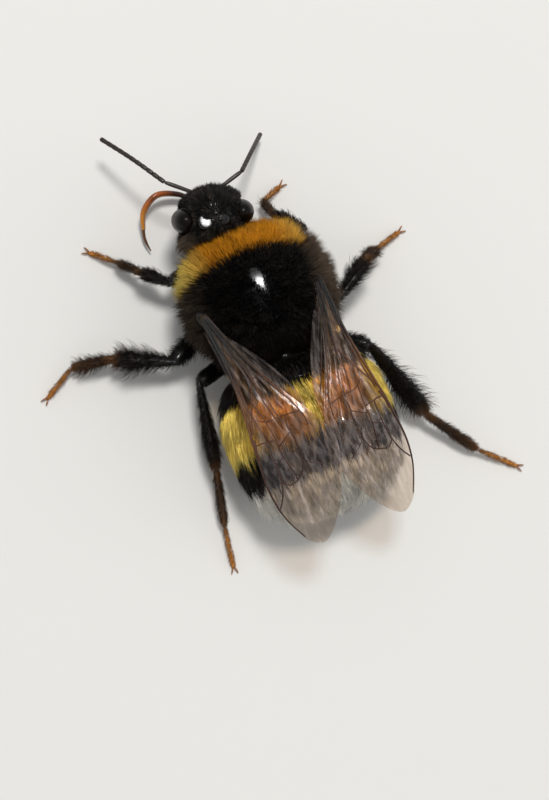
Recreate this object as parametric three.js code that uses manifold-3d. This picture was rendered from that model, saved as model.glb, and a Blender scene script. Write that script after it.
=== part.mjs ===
// A queen bumblebee at life size, resting on a flat floor with its wings folded back over the abdomen.
// Millimetres. +Z is up, the head points along -Y, and the bee's left side is +X.
// Each solid reaches to the tips of the coat that covers it. The group is moved at the end so that
// the origin is the middle of the footprint, on the floor.
import * as THREE from "three";
import { mergeVertices } from "three/addons/utils/BufferGeometryUtils.js";
import Module from "manifold-3d";

const wasm = await Module();
wasm.setup();

// ---------------------------------------------------------------- driving dimensions
const GAP = 0.1; // clearance between two pieces that meet
const THIN = 0.5; // thickness of the wings and of the feelers
const FLOOR_BLOCK = 60; // side of the block above the floor that trims the feet

const THORAX = { front: -3.75, back: 5.05, middle: 5.1, halfWidth: 4.95, halfHeight: 4.05, x: 0.28 };
const COLLAR_BACK = -1.75; // the pale collar ends here
const ABDOMEN = { root: [0, 4.55, 4.8], tip: [-0.35, 14.55, 3.5], halfWidth: 5.35, halfHeight: 3.75 };
const RING_ENDS = [0, 0.15, 0.42, 0.63, 0.8, 0.92, 1]; // shares of the abdomen's length
// The head stands on end: the crown leans back and the face is turned a little to the right.
const HEAD = { centre: [1.0, -4.9, 4.45], height: 5.2, halfWidth: 2.45, halfDepth: 1.95, crown: 0.76, lean: 12, turn: 10 };
const EYE = { out: 1.9, forward: 0.05, up: 0.55, length: 3.05, halfWidth: 0.78, halfDepth: 0.9 };

const BLACK = 0x15120f;
const GOLD = 0xc8860f;
const LEMON = 0xe0b92e;
const WHITE = 0xd9d3c3;
const AMBER = 0x8a3d12;
const SMOKE = 0x6b4a2c;

// ---------------------------------------------------------------- solids
const vec = (p) => new THREE.Vector3(...p);
const mix = (a, b, t) => a + (b - a) * t;
const SIDES = { left: 1, right: -1 };

/** A closed three.js geometry as a solid. */
function solidOf(geometry) {
  const bare = geometry.clone();
  bare.deleteAttribute("normal");
  bare.deleteAttribute("uv");
  const merged = mergeVertices(bare, 1e-4);
  return new wasm.Manifold(
    new wasm.Mesh({
      numProp: 3,
      vertProperties: merged.attributes.position.array,
      triVerts: new Uint32Array(merged.index.array),
    }),
  );
}

/** A solid as a three.js geometry. */
function geometryOf(solid) {
  const mesh = solid.getMesh();
  const made = new THREE.BufferGeometry();
  made.setAttribute("position", new THREE.BufferAttribute(new Float32Array(mesh.vertProperties), 3));
  made.setIndex(new THREE.BufferAttribute(new Uint32Array(mesh.triVerts), 1));
  made.computeVertexNormals();
  return made;
}

const cutBy = (solid, ...others) => others.reduce((left, other) => left.subtract(other), solid);

/** The biggest of a solid's separate bodies, as a cut may leave a crumb. */
const largest = (solid) => solid.decompose().sort((a, b) => b.volume() - a.volume())[0];

/** Fullness from 0 at both ends to 1 in the middle; a higher power has blunter ends. */
const oval = (power) => (t) => Math.pow(Math.max(0, 1 - Math.pow(Math.abs(2 * t - 1), power)), 1 / power);

/**
 * A rounded solid from start to end. width and depth give its half sizes at a share t of the length,
 * side is roughly the direction of its width, and lift moves its middle line along its depth.
 */
function rounded({ start, end, side = [1, 0, 0], width, depth, lift = () => 0, around = 10, along = 7 }, grow = 0) {
  const axis = vec(end).sub(vec(start));
  const length = axis.length() + 2 * grow;
  axis.normalize();
  const from = vec(start).addScaledVector(axis, -grow);
  const across = vec(side).addScaledVector(axis, -vec(side).dot(axis)).normalize();
  const outward = new THREE.Vector3().crossVectors(across, axis);
  const geometry = new THREE.SphereGeometry(1, around, along);
  const place = geometry.attributes.position;
  for (let i = 0; i < place.count; i++) {
    const v = new THREE.Vector3().fromBufferAttribute(place, i);
    const t = (1 + v.y) / 2;
    const ring = Math.hypot(v.x, v.z) || 1;
    const swell = Math.abs(v.y) > 0.9999 ? 0 : grow;
    const made = from
      .clone()
      .addScaledVector(axis, length * t)
      .addScaledVector(across, (v.x / ring) * (width(t) + swell))
      .addScaledVector(outward, (v.z / ring) * (depth(t) + swell) + lift(t));
    place.setXYZ(i, made.x, made.y, made.z);
  }
  return solidOf(geometry);
}

/** One length of a limb from start to end, narrower at its start by the share taper. */
function limb({ start, end, side = [0, 0, 1], wide, deep, taper = 0.8, blunt = 4 }, grow = 0) {
  const ends = oval(blunt);
  const swell = (t) => ends(t) * mix(taper, 1, Math.min(1, t / 0.7));
  const width = (t) => (wide / 2) * swell(t);
  const depth = (t) => (deep / 2) * swell(t);
  return rounded({ start, end, side, width, depth, around: 8, along: 5 }, grow);
}

/** A thin round cord of a limb along a smooth path. */
function cordAlong(points, radius, steps) {
  const path = new THREE.CatmullRomCurve3(points.map(vec));
  const ring = new THREE.Shape().absarc(0, 0, radius, 0, 2 * Math.PI, false);
  return solidOf(
    new THREE.ExtrudeGeometry(ring, { steps, curveSegments: 4, bevelEnabled: false, extrudePath: path }),
  );
}

// ---------------------------------------------------------------- head
const headTurn = new THREE.Euler(-THREE.MathUtils.degToRad(HEAD.lean), 0, -THREE.MathUtils.degToRad(HEAD.turn), "ZXY");
const headPlace = new THREE.Matrix4().compose(
  vec(HEAD.centre),
  new THREE.Quaternion().setFromEuler(headTurn),
  new THREE.Vector3(1, 1, 1),
);
/** A point given from the middle of the head: to its left, backwards, and up towards the crown. */
const inHead = (p) => vec(p).applyMatrix4(headPlace).toArray();
const headLeft = vec([1, 0, 0]).transformDirection(headPlace).toArray();

/** The head narrows between the eyes, from its middle up to the crown. */
const crownShare = (t) => mix(1, HEAD.crown, THREE.MathUtils.smoothstep(t, 0.5, 0.9));

function headSolid(grow = 0) {
  const full = oval(2.5);
  return rounded(
    {
      start: inHead([0, 0, -HEAD.height / 2]),
      end: inHead([0, 0, HEAD.height / 2]),
      side: headLeft,
      width: (t) => HEAD.halfWidth * full(t) * mix(0.72, 1, Math.min(1, t / 0.55)) * crownShare(t),
      depth: (t) => HEAD.halfDepth * full(t) * mix(0.86, 1, t),
      around: 18,
      along: 11,
    },
    grow,
  );
}

function eyeSolid(sign, grow = 0) {
  const full = oval(2.2);
  return rounded(
    {
      start: inHead([sign * (EYE.out - 0.06), -EYE.forward, EYE.up - EYE.length / 2]),
      end: inHead([sign * (EYE.out - 0.16), -EYE.forward, EYE.up + EYE.length / 2]),
      side: headLeft,
      width: (t) => EYE.halfWidth * full(t),
      depth: (t) => EYE.halfDepth * full(t),
      around: 12,
      along: 8,
    },
    grow,
  );
}

const mandible = (sign, grow) =>
  limb(
    {
      start: inHead([sign * 1.35, -0.55, -1.75]),
      end: inHead([sign * 0.22, -0.95, -3.1]),
      side: headLeft,
      wide: 0.85,
      deep: 0.6,
      taper: 1,
    },
    grow,
  );

// The tongue leaves the chin behind the jaws, swings out to the left and curves back beside the head.
const TONGUE_SHEATH = [
  [0.9, -5.5, 1.95],
  [1.05, -6.15, 1.1],
  [1.4, -6.9, 0.87],
  [2.1, -7.5, 1.0],
  [3.4, -7.8, 1.35],
  [4.5, -7.1, 1.2],
  [4.85, -6.1, 0.8],
];
const TONGUE_TIP = [
  [4.9, -5.95, 0.74],
  [4.95, -5.4, 0.6],
  [4.85, -4.75, 0.45],
];

const ANTENNAE = {
  left: { socket: [1.28, -6.45, 4.5], elbow: [3.01, -7.84, 4.6], tip: [5.58, -11.94, 3.0], sag: 0.35 },
  right: { socket: [0.12, -6.35, 4.5], elbow: [-1.7, -6.94, 4.5], tip: [-4.19, -9.38, 1.0], sag: 0.3 },
};

const scapeSolid = ({ socket, elbow }) =>
  limb({ start: socket, end: elbow, wide: THIN, deep: THIN, taper: 0.95, blunt: 5 });

function flagellumSolid({ socket, elbow, tip, sag }) {
  const bend = vec(elbow);
  const along = vec(tip).sub(bend);
  const from = bend.clone().addScaledVector(along.clone().normalize(), THIN / 2 + GAP);
  from.addScaledVector(bend.clone().sub(vec(socket)).normalize(), GAP);
  const middle = from.clone().lerp(vec(tip), 0.5).add(new THREE.Vector3(0, 0, sag));
  return cordAlong([from.toArray(), middle.toArray(), tip], THIN / 2, 6);
}

// ---------------------------------------------------------------- thorax and abdomen
function thoraxSolid(grow = 0) {
  const full = oval(2.35);
  const { front, back, middle, halfWidth, halfHeight, x } = THORAX;
  return rounded(
    {
      start: [x, front, middle],
      end: [x - 0.35, back, middle],
      width: (t) => halfWidth * full(t),
      depth: (t) => halfHeight * full(t),
      around: 24,
      along: 14,
    },
    grow,
  );
}

function abdomenSolid() {
  const plan = oval(2.7);
  const profile = oval(2.4);
  return rounded({
    start: ABDOMEN.root,
    end: ABDOMEN.tip,
    width: (t) => ABDOMEN.halfWidth * plan(Math.pow(t, 0.85)),
    depth: (t) => ABDOMEN.halfHeight * profile(Math.pow(t, 0.85)),
    lift: (t) => 0.2 * Math.sin(Math.PI * t),
    around: 24,
    along: 16,
  });
}

/** A block that spans the body between two distances along a direction from a point. */
function slab(point, direction, low, high) {
  const block = new THREE.BoxGeometry(40, high - low, 40);
  block.translate(0, (low + high) / 2, 0);
  block.applyQuaternion(new THREE.Quaternion().setFromUnitVectors(new THREE.Vector3(0, 1, 0), direction));
  return solidOf(block.translate(...point));
}

/** The block between two ring ends of the abdomen, with half a gap off each face. */
function ringBlock(index) {
  const axis = vec(ABDOMEN.tip).sub(vec(ABDOMEN.root));
  const length = axis.length();
  const low = index === 0 ? -length : RING_ENDS[index] * length + GAP / 2;
  const high = index === RING_ENDS.length - 2 ? 2 * length : RING_ENDS[index + 1] * length - GAP / 2;
  return slab(ABDOMEN.root, axis.normalize(), low, high);
}

// ---------------------------------------------------------------- wings
// Outlines in the wing's own plane: distance from the root along the span, and across it,
// where plus is towards the leading edge.
const FOREWING = {
  length: 15.1,
  lead: [[0, 0.25], [3.5, 0.2], [5.2, 0.38], [8.2, 0.86], [10.9, 1.15], [13, 0.92], [14.4, 0.42], [15.1, -0.25]],
  trail: [[0, -0.25], [3, -1.0], [5.5, -1.9], [7.6, -2.85], [9.7, -3.65], [11.4, -3.3], [13.2, -2.5], [14.5, -1.55], [15.1, -0.8]],
};
const HINDWING = {
  length: 10.4,
  lead: [[0, 0.25], [3, 0.45], [6, 0.5], [9, 0.3], [10.4, -0.5]],
  trail: [[0, -0.25], [2.2, -1.4], [4.5, -2.3], [6.5, -2.6], [8.5, -2.3], [9.8, -1.6], [10.4, -1.0]],
};
const WING_PAIRS = {
  left: { sign: 1, root: [4.05, 0.9], heading: 6.6, tilt: 0.24, lift: 0.2 },
  right: { sign: -1, root: [-3.3, 0.7], heading: -2.5, tilt: 0.1, lift: 0 },
};
const WING_CREST = { height: 8.1, at: 6, drop: 0.0208 }; // the wing rises over the abdomen, then falls
const HIND_BELOW = 0.64; // the hindwing lies under the forewing,
const HIND_BEHIND = 0.9; // starts behind it,
const HIND_INWARD = 4; // and is turned inwards by this many degrees

const outlineAt = (points) => {
  const curve = new THREE.SplineCurve(points.map((p) => new THREE.Vector2(...p)));
  const samples = curve.getPoints(120);
  return (s) => {
    const next = samples.findIndex((p) => p.x >= s);
    if (next <= 0) return samples[next < 0 ? samples.length - 1 : 0].y;
    const [a, b] = [samples[next - 1], samples[next]];
    return mix(a.y, b.y, (s - a.x) / (b.x - a.x || 1));
  };
};

function wingSolid(pair, wing, grow = 0) {
  const { sign, root, heading, tilt, lift } = pair;
  const hind = wing === HINDWING;
  const [behind, below, inward] = hind ? [HIND_BEHIND, HIND_BELOW, HIND_INWARD] : [0, 0, 0];
  const lead = outlineAt(wing.lead);
  const trail = outlineAt(wing.trail);
  const turn = THREE.MathUtils.degToRad(heading + inward);
  const span = [-sign * Math.sin(turn), Math.cos(turn)];
  const chord = [sign * Math.cos(turn), Math.sin(turn)];
  const block = new THREE.BoxGeometry(1, 1, 1, 12, 3, 1);
  const place = block.attributes.position;
  for (let i = 0; i < place.count; i++) {
    const share = place.getX(i) + 0.5;
    const across = 0.5 - sign * place.getY(i);
    const s = wing.length * (1 - Math.pow(1 - share, 1.3));
    const beyond = share < 0.001 ? -grow : share > 0.999 ? grow : 0;
    const aside = across < 0.001 ? -grow : across > 0.999 ? grow : 0;
    const reach = s + beyond;
    const c = mix(trail(s), lead(s), across) + aside;
    const fall = WING_CREST.drop * Math.pow(reach + behind - WING_CREST.at, 2);
    const height = WING_CREST.height - fall + lift - below - tilt * c * Math.min(1, s / 5);
    place.setXYZ(
      i,
      root[0] + span[0] * reach + chord[0] * c,
      root[1] + behind + span[1] * reach + chord[1] * c,
      height + place.getZ(i) * (THIN + 2 * grow),
    );
  }
  return solidOf(block);
}

// ---------------------------------------------------------------- legs
// Joints of each leg, from the hip out to the tip of the foot.
const LEG_JOINTS = {
  left_fore: [[1.5, -2.2, 2.5], [2.4, -2.7, 1.75], [4.7, -2.1, 3.1], [6.08, -3.51, 2.0], [7.17, -4.77, 0.75], [8.56, -6.02, 0.12]],
  right_fore: [[-1.0, -2.2, 2.5], [-1.9, -3.0, 1.9], [-4.25, -2.55, 3.4], [-3.0, -4.18, 2.0], [-2.89, -5.34, 0.75], [-4.41, -6.0, 0.12]],
  left_mid: [[1.9, 0.3, 2.2], [3.0, 0.9, 1.5], [6.09, 2.51, 2.6], [9.54, 0.96, 1.7], [12.07, 0.55, 0.8], [14.1, 1.8, 0.12]],
  right_mid: [[-1.5, 0.3, 2.2], [-2.5, 0.6, 1.5], [-4.75, 2.3, 3.4], [-7.4, 0.47, 2.8], [-8.58, -0.06, 0.8], [-10.58, -0.69, 0.12]],
  left_hind: [[1.5, 2.7, 2.1], [2.2, 3.3, 1.5], [5.15, 4.3, 3.3], [5.9, 9.63, 1.9], [6.53, 13.09, 0.8], [6.84, 15.67, 0.12]],
  right_hind: [[-1.5, 2.9, 2.1], [-2.3, 3.7, 1.5], [-5.63, 5.71, 3.2], [-7.65, 10.86, 1.8], [-10.18, 14.08, 0.8], [-12.36, 15.95, 0.12]],
};
// Width and depth of each length of a leg, coat included.
const LEG_SIZES = {
  fore: { coxa: [1.3, 1.2], femur: [1.25, 1.1], tibia: [1.3, 1.1], basitarsus: [1.0, 0.8], tarsus: [0.6, 0.55] },
  mid: { coxa: [1.4, 1.3], femur: [1.4, 1.2], tibia: [1.75, 1.3], basitarsus: [1.2, 0.85], tarsus: [0.6, 0.55] },
  hind: { coxa: [1.5, 1.3], femur: [1.4, 1.2], tibia: [2.4, 1.0], basitarsus: [1.0, 0.75], tarsus: [0.6, 0.55] },
};
const LEG_TAPER = { coxa: 1, femur: 0.9, tibia: 0.5, basitarsus: 0.85, tarsus: 0.9 };
const LEG_REACH = { coxa: 0, femur: 0.3, tibia: 0.3, basitarsus: 0.25, tarsus: 0.2 }; // each starts inside the last
const LEG_PARTS = Object.keys(LEG_TAPER);
// Rough direction of the width of the flattened lengths of each leg.
const LEG_FACE = {
  left_fore: [0.3, 0.3, 1],
  right_fore: [0.3, 0.3, 1],
  left_mid: [0, 1, 0.25],
  right_mid: [0, 0.5, 1],
  left_hind: [0, 0, 1],
  right_hind: [-1, 0, 0.75],
};

function legSolids(name, joints, thoraxGrown, aboveFloor) {
  const sizes = LEG_SIZES[name.split("_")[1]];
  const piece = (part, grow) => {
    const at = LEG_PARTS.indexOf(part);
    const [wide, deep] = sizes[part];
    const back = vec(joints[at]).sub(vec(joints[at + 1])).normalize().multiplyScalar(LEG_REACH[part]);
    const side = part === "tarsus" ? [0.2, 0.2, 1] : LEG_FACE[name];
    const start = vec(joints[at]).add(back).toArray();
    return limb({ start, end: joints[at + 1], side, wide, deep, taper: LEG_TAPER[part] }, grow);
  };
  const made = {};
  LEG_PARTS.forEach((part, at) => {
    let solid = piece(part, 0);
    if (at > 0) solid = cutBy(solid, piece(LEG_PARTS[at - 1], GAP));
    if (at < 3) solid = cutBy(solid, thoraxGrown);
    if (part === "tarsus") solid = solid.intersect(aboveFloor);
    made[`${part}_${name}`] = largest(solid);
  });
  return made;
}

// ---------------------------------------------------------------- the bee
const bee = new THREE.Group();
const finish = {
  coat: (color) => new THREE.MeshStandardMaterial({ color, roughness: 0.85, metalness: 0 }),
  shell: (color) => new THREE.MeshStandardMaterial({ color, roughness: 0.3, metalness: 0 }),
};

function add(name, solid, material) {
  const mesh = new THREE.Mesh(geometryOf(solid), material);
  mesh.name = name;
  bee.add(mesh);
}

const thoraxGrown = thoraxSolid(GAP);
const headGrown = headSolid(GAP);
const aboveFloor = solidOf(new THREE.BoxGeometry(FLOOR_BLOCK, FLOOR_BLOCK, FLOOR_BLOCK).translate(0, 0, FLOOR_BLOCK / 2));
const wings = Object.entries(WING_PAIRS).flatMap(([side, pair]) => [
  { name: `forewing_${side}`, solid: (grow) => wingSolid(pair, FOREWING, grow) },
  { name: `hindwing_${side}`, solid: (grow) => wingSolid(pair, HINDWING, grow) },
]);
const wingSlots = wings.map((wing) => wing.solid(GAP));

const eyeSockets = Object.values(SIDES).map((sign) => eyeSolid(sign, GAP));
add("head", largest(cutBy(headSolid(), thoraxGrown, ...eyeSockets)), finish.coat(BLACK));
const jaws = Object.values(SIDES).map((sign) => mandible(sign, GAP));
for (const [side, sign] of Object.entries(SIDES)) {
  add(`eye_${side}`, cutBy(eyeSolid(sign), thoraxGrown), finish.shell(BLACK));
  add(`mandible_${side}`, largest(cutBy(mandible(sign, 0), headGrown)), finish.shell(BLACK));
  add(`scape_${side}`, largest(cutBy(scapeSolid(ANTENNAE[side]), headGrown)), finish.shell(BLACK));
  add(`flagellum_${side}`, flagellumSolid(ANTENNAE[side]), finish.shell(BLACK));
}
add("tongue_sheath", largest(cutBy(cordAlong(TONGUE_SHEATH, 0.28, 13), headGrown, ...jaws)), finish.shell(AMBER));
add("tongue_tip", cordAlong(TONGUE_TIP, THIN / 2, 4), finish.shell(AMBER));

const thorax = cutBy(thoraxSolid(), ...wingSlots);
const backwards = new THREE.Vector3(0, 1, 0);
const ofThorax = (low, high) => largest(thorax.intersect(slab([0, COLLAR_BACK, THORAX.middle], backwards, low, high)));
add("collar", ofThorax(-20, -GAP / 2), finish.coat(GOLD));
add("thorax", ofThorax(GAP / 2, 20), finish.coat(BLACK));

const abdomen = cutBy(abdomenSolid(), thoraxGrown, ...wingSlots);
[BLACK, LEMON, BLACK, WHITE, WHITE, BLACK].forEach((color, index) => {
  add(`abdomen_ring_${index + 1}`, largest(abdomen.intersect(ringBlock(index))), finish.coat(color));
});

wings.forEach((wing) => add(wing.name, wing.solid(0), finish.shell(SMOKE)));

for (const [name, joints] of Object.entries(LEG_JOINTS)) {
  for (const [part, solid] of Object.entries(legSolids(name, joints, thoraxGrown, aboveFloor))) {
    add(part, solid, part.startsWith("tarsus") ? finish.shell(AMBER) : finish.coat(BLACK));
  }
}

// ---------------------------------------------------------------- origin under the middle, on the floor
const middle = new THREE.Box3().setFromObject(bee).getCenter(new THREE.Vector3());
bee.position.set(-middle.x, -middle.y, 0);

export default bee;
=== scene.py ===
from dataclasses import dataclass
from math import cos, pi, radians, sin

import bpy
import numpy as np
from bpy.props import FloatProperty, FloatVectorProperty, IntProperty, PointerProperty
from mathutils import Matrix, Vector


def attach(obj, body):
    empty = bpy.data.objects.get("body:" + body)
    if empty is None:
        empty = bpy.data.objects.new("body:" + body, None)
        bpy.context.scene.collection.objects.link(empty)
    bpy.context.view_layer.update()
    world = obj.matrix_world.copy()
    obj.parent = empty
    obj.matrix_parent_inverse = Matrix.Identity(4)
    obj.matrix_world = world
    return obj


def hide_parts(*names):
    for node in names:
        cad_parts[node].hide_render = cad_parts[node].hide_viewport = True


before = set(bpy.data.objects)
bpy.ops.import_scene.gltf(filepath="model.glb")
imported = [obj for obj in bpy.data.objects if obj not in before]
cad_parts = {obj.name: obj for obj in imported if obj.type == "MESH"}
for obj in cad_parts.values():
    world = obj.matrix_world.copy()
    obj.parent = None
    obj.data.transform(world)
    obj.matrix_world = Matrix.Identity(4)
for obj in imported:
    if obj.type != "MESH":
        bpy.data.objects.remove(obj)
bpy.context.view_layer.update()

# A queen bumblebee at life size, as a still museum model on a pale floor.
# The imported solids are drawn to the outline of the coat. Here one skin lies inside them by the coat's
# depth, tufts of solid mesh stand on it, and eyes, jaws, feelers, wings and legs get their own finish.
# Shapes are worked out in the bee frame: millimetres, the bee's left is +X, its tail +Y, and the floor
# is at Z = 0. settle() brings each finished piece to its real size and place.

bl_info = {
    "name": "Museum Bumblebee",
    "version": (1, 0, 0),
    "blender": (4, 5, 0),
    "location": "3D View > Sidebar > Bumblebee",
    "description": "Builds a life-size queen bumblebee around its packed solids",
    "category": "Add Mesh",
}

MM = 0.001
UP = np.array([0.0, 0.0, 1.0])
POLE = 0.004  # radius at which a drawn-out solid closes to a point
TOUCH = 1e-4  # points of a tube or a fused solid that are closer than this are one
WELDS = (0.0003, 0.001, 0.002, 0.004, 0.008, 0.016)  # distances tried in turn to close a fused solid
SIDES = {"left": 1, "right": -1}
CAP = 0.002  # this share of a form's length at each end counts as outside it
STEP = 0.004  # slopes of a form's surface are taken over this share of its length
TURN = 0.01  # and over this angle


def linear(code):
    """A colour written as six hex digits, as the linear values that shaders take."""
    parts = [int(code[i : i + 2], 16) / 255 for i in (0, 2, 4)]
    return tuple(c / 12.92 if c <= 0.04045 else ((c + 0.055) / 1.055) ** 2.4 for c in parts)


# ------------------------------------------------------------------ forms of the body
def oval(power):
    """Fullness from 0 at both ends to 1 in the middle; a higher power has blunter ends."""
    return lambda t: np.maximum(0.0, 1 - np.abs(2 * np.asarray(t, float) - 1) ** power) ** (1 / power)


def level(t):
    """A middle line that is straight."""
    return 0.0 * np.asarray(t, float)


@dataclass
class Form:
    """A rounded solid about a straight middle line, with half sizes at a share t of its length."""

    start: tuple
    end: tuple
    side: tuple
    width: object
    depth: object
    lift: object = level

    def __post_init__(self):
        self.start = np.array(self.start, float)
        self.end = np.array(self.end, float)
        self.length = float(np.linalg.norm(self.end - self.start))
        self.axis = (self.end - self.start) / self.length
        side = np.array(self.side, float)
        across = side - side @ self.axis * self.axis
        self.across = across / np.linalg.norm(across)
        self.outward = np.cross(self.across, self.axis)

    def place(self, t, a):
        """Points on the surface at share t and angle a, where a quarter turn faces outward."""
        t = np.asarray(t, float)
        a = np.asarray(a, float)
        along = self.length * t
        wide = np.cos(a) * self.width(t)
        deep = np.sin(a) * self.depth(t) + self.lift(t)
        parts = along[..., None] * self.axis + wide[..., None] * self.across
        return self.start + parts + deep[..., None] * self.outward

    def fill(self, points):
        """0 on the middle line, 1 on the surface and more outside."""
        rel = points - self.start
        t = rel @ self.axis / self.length
        inner = np.clip(t, CAP, 1 - CAP)
        wide = (rel @ self.across) / self.width(inner)
        deep = (rel @ self.outward - self.lift(inner)) / self.depth(inner)
        return np.hypot(wide, deep) + 9.0 * np.abs(t - inner) / CAP

    def lie(self, t, a):
        """Unit vectors out of the surface and along it towards the end, at share t and angle a."""
        low = held(t - STEP)
        high = held(t + STEP)
        along = unit(self.place(high, a) - self.place(low, a))
        inner = np.clip(t, STEP, 1 - STEP)
        around = self.place(inner, a + TURN) - self.place(inner, a - TURN)
        out = unit(np.cross(unit(around), along))
        centre = self.start + self.axis * (self.length * t)[..., None]
        centre = centre + self.outward * self.lift(t)[..., None]
        flip = np.sign(np.sum(out * (self.place(t, a) - centre), axis=-1, keepdims=True))
        return out * np.where(flip == 0, 1, flip), along

    def matrix(self):
        """Carries a solid drawn out along Z, with its width along X, to the form's place."""
        columns = [Vector(self.across), Vector(-self.outward), Vector(self.axis)]
        turn = Matrix(columns).transposed().to_4x4()
        return Matrix.Translation(Vector(self.start)) @ turn


def held(value):
    """A value held between 0 and 1."""
    return np.clip(value, 0, 1)


def unit(vectors):
    lengths = np.linalg.norm(vectors, axis=-1, keepdims=True)
    return vectors / np.maximum(lengths, 1e-9)


def mix(a, b, share):
    return a + (b - a) * share


# Outline of the coat over each part, and the place and size of an eye in the head.
THORAX = {"front": -3.75, "back": 5.05, "middle": 5.1, "wide": 4.95, "deep": 4.05, "x": 0.28}
ABDOMEN = {"root": (0, 4.55, 4.8), "tip": (-0.35, 14.55, 3.5), "wide": 5.35, "deep": 3.75}
RING_ENDS = (0, 0.15, 0.42, 0.63, 0.8, 0.92, 1)
HEAD = {"centre": (1.0, -4.9, 4.45), "height": 5.2, "wide": 2.45, "deep": 1.95, "lean": 12, "turn": 10}
EYE = {"out": 1.9, "forward": 0.05, "up": 0.55, "length": 3.05, "wide": 0.74, "deep": 0.76}


def ring_of(t):
    """Which ring of the abdomen each share of its length lies in."""
    return np.clip(np.searchsorted(RING_ENDS, t, side="right") - 1, 0, len(RING_ENDS) - 2)


def thorax_form(front_in, back_in, side_in, top_in):
    """The thorax, drawn in from the outline of its coat by the given depths."""
    full = oval(2.35)
    x = THORAX["x"]
    return Form(
        (x, THORAX["front"] + front_in, THORAX["middle"]),
        (x - 0.35, THORAX["back"] - back_in, THORAX["middle"]),
        (1, 0, 0),
        lambda t: (THORAX["wide"] - side_in) * full(t),
        lambda t: (THORAX["deep"] - top_in) * full(t),
    )


def abdomen_form(side_in, top_in, end_in, step=0.0):
    """The abdomen, drawn in from the outline of its coat. step is how far a plate laps over the next."""
    plan = oval(2.7)
    profile = oval(2.4)
    root = np.array(ABDOMEN["root"], float)
    tip = np.array(ABDOMEN["tip"], float)
    tip = tip - (tip - root) / np.linalg.norm(tip - root) * end_in

    def plate(t):
        """Each plate swells towards its hind margin and drops to the next one."""
        ring = ring_of(t)
        ends = np.array(RING_ENDS)
        share = (t - ends[ring]) / (ends[ring + 1] - ends[ring])
        return 1 - step * (1 - share)

    return Form(
        root,
        tip,
        (1, 0, 0),
        lambda t: (ABDOMEN["wide"] - side_in) * plan(t**0.85) * plate(t),
        lambda t: (ABDOMEN["deep"] - top_in) * profile(t**0.85) * plate(t),
        lambda t: 0.2 * np.sin(pi * t),
    )


HEAD_TURN = Matrix.Rotation(-radians(HEAD["turn"]), 3, "Z") @ Matrix.Rotation(-radians(HEAD["lean"]), 3, "X")


def in_head(left, back, up):
    """A point given from the middle of the head: to its left, backwards, and up to the crown."""
    return tuple(Vector(HEAD["centre"]) + HEAD_TURN @ Vector((left, back, up)))


HEAD_LEFT = tuple(HEAD_TURN @ Vector((1, 0, 0)))


def eased(value, low, high):
    """0 up to low and 1 from high, with a smooth rise between them."""
    share = held((np.asarray(value, float) - low) / (high - low))
    return share * share * (3 - 2 * share)


def head_form(coat, crown, blunt):
    """The head, drawn in all round by coat.

    crown is the share of its breadth left at the crown, which is blunter with a higher blunt.
    """
    half = HEAD["height"] / 2 - coat

    def full(t):
        return np.where(np.asarray(t) > 0.5, oval(blunt)(t), oval(2.5)(t))

    def wide(t):
        jaw = mix(0.72, 1, np.minimum(1, t / 0.55))
        return (HEAD["wide"] - coat) * full(t) * jaw * mix(1, crown, eased(t, 0.5, 0.9))

    return Form(
        in_head(0, 0, -half),
        in_head(0, 0, half),
        HEAD_LEFT,
        wide,
        lambda t: (HEAD["deep"] - coat) * full(t) * mix(0.86, 1, t),
    )


def eye_form(sign):
    full = oval(2.2)
    half = EYE["length"] / 2
    return Form(
        in_head(sign * (EYE["out"] - 0.06), -EYE["forward"], EYE["up"] - half),
        in_head(sign * (EYE["out"] - 0.16), -EYE["forward"], EYE["up"] + half),
        HEAD_LEFT,
        lambda t: EYE["wide"] * full(t),
        lambda t: EYE["deep"] * full(t),
    )


def limb_form(start, end, side, wide, deep, taper=0.8, blunt=4):
    """One length of a limb, wide by deep, which starts with the share taper of that.

    A higher blunt gives blunter ends.
    """
    ends = oval(blunt)
    return Form(
        start,
        end,
        side,
        lambda t: wide / 2 * ends(t) * mix(taper, 1, np.minimum(1, t / 0.7)),
        lambda t: deep / 2 * ends(t) * mix(taper, 1, np.minimum(1, t / 0.7)),
    )


THORAX_COAT = thorax_form(0, 0, 0, 0)
THORAX_SKIN = thorax_form(1.1, 0.8, 1.4, 0.9)
ABDOMEN_COAT = abdomen_form(0, 0, 0)
ABDOMEN_SKIN = abdomen_form(0.85, 0.62, 0.7, step=0.035)
HEAD_COAT = head_form(0, 0.76, 2.5)
HEAD_SKIN = head_form(0.24, 0.7, 3.4)

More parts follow.
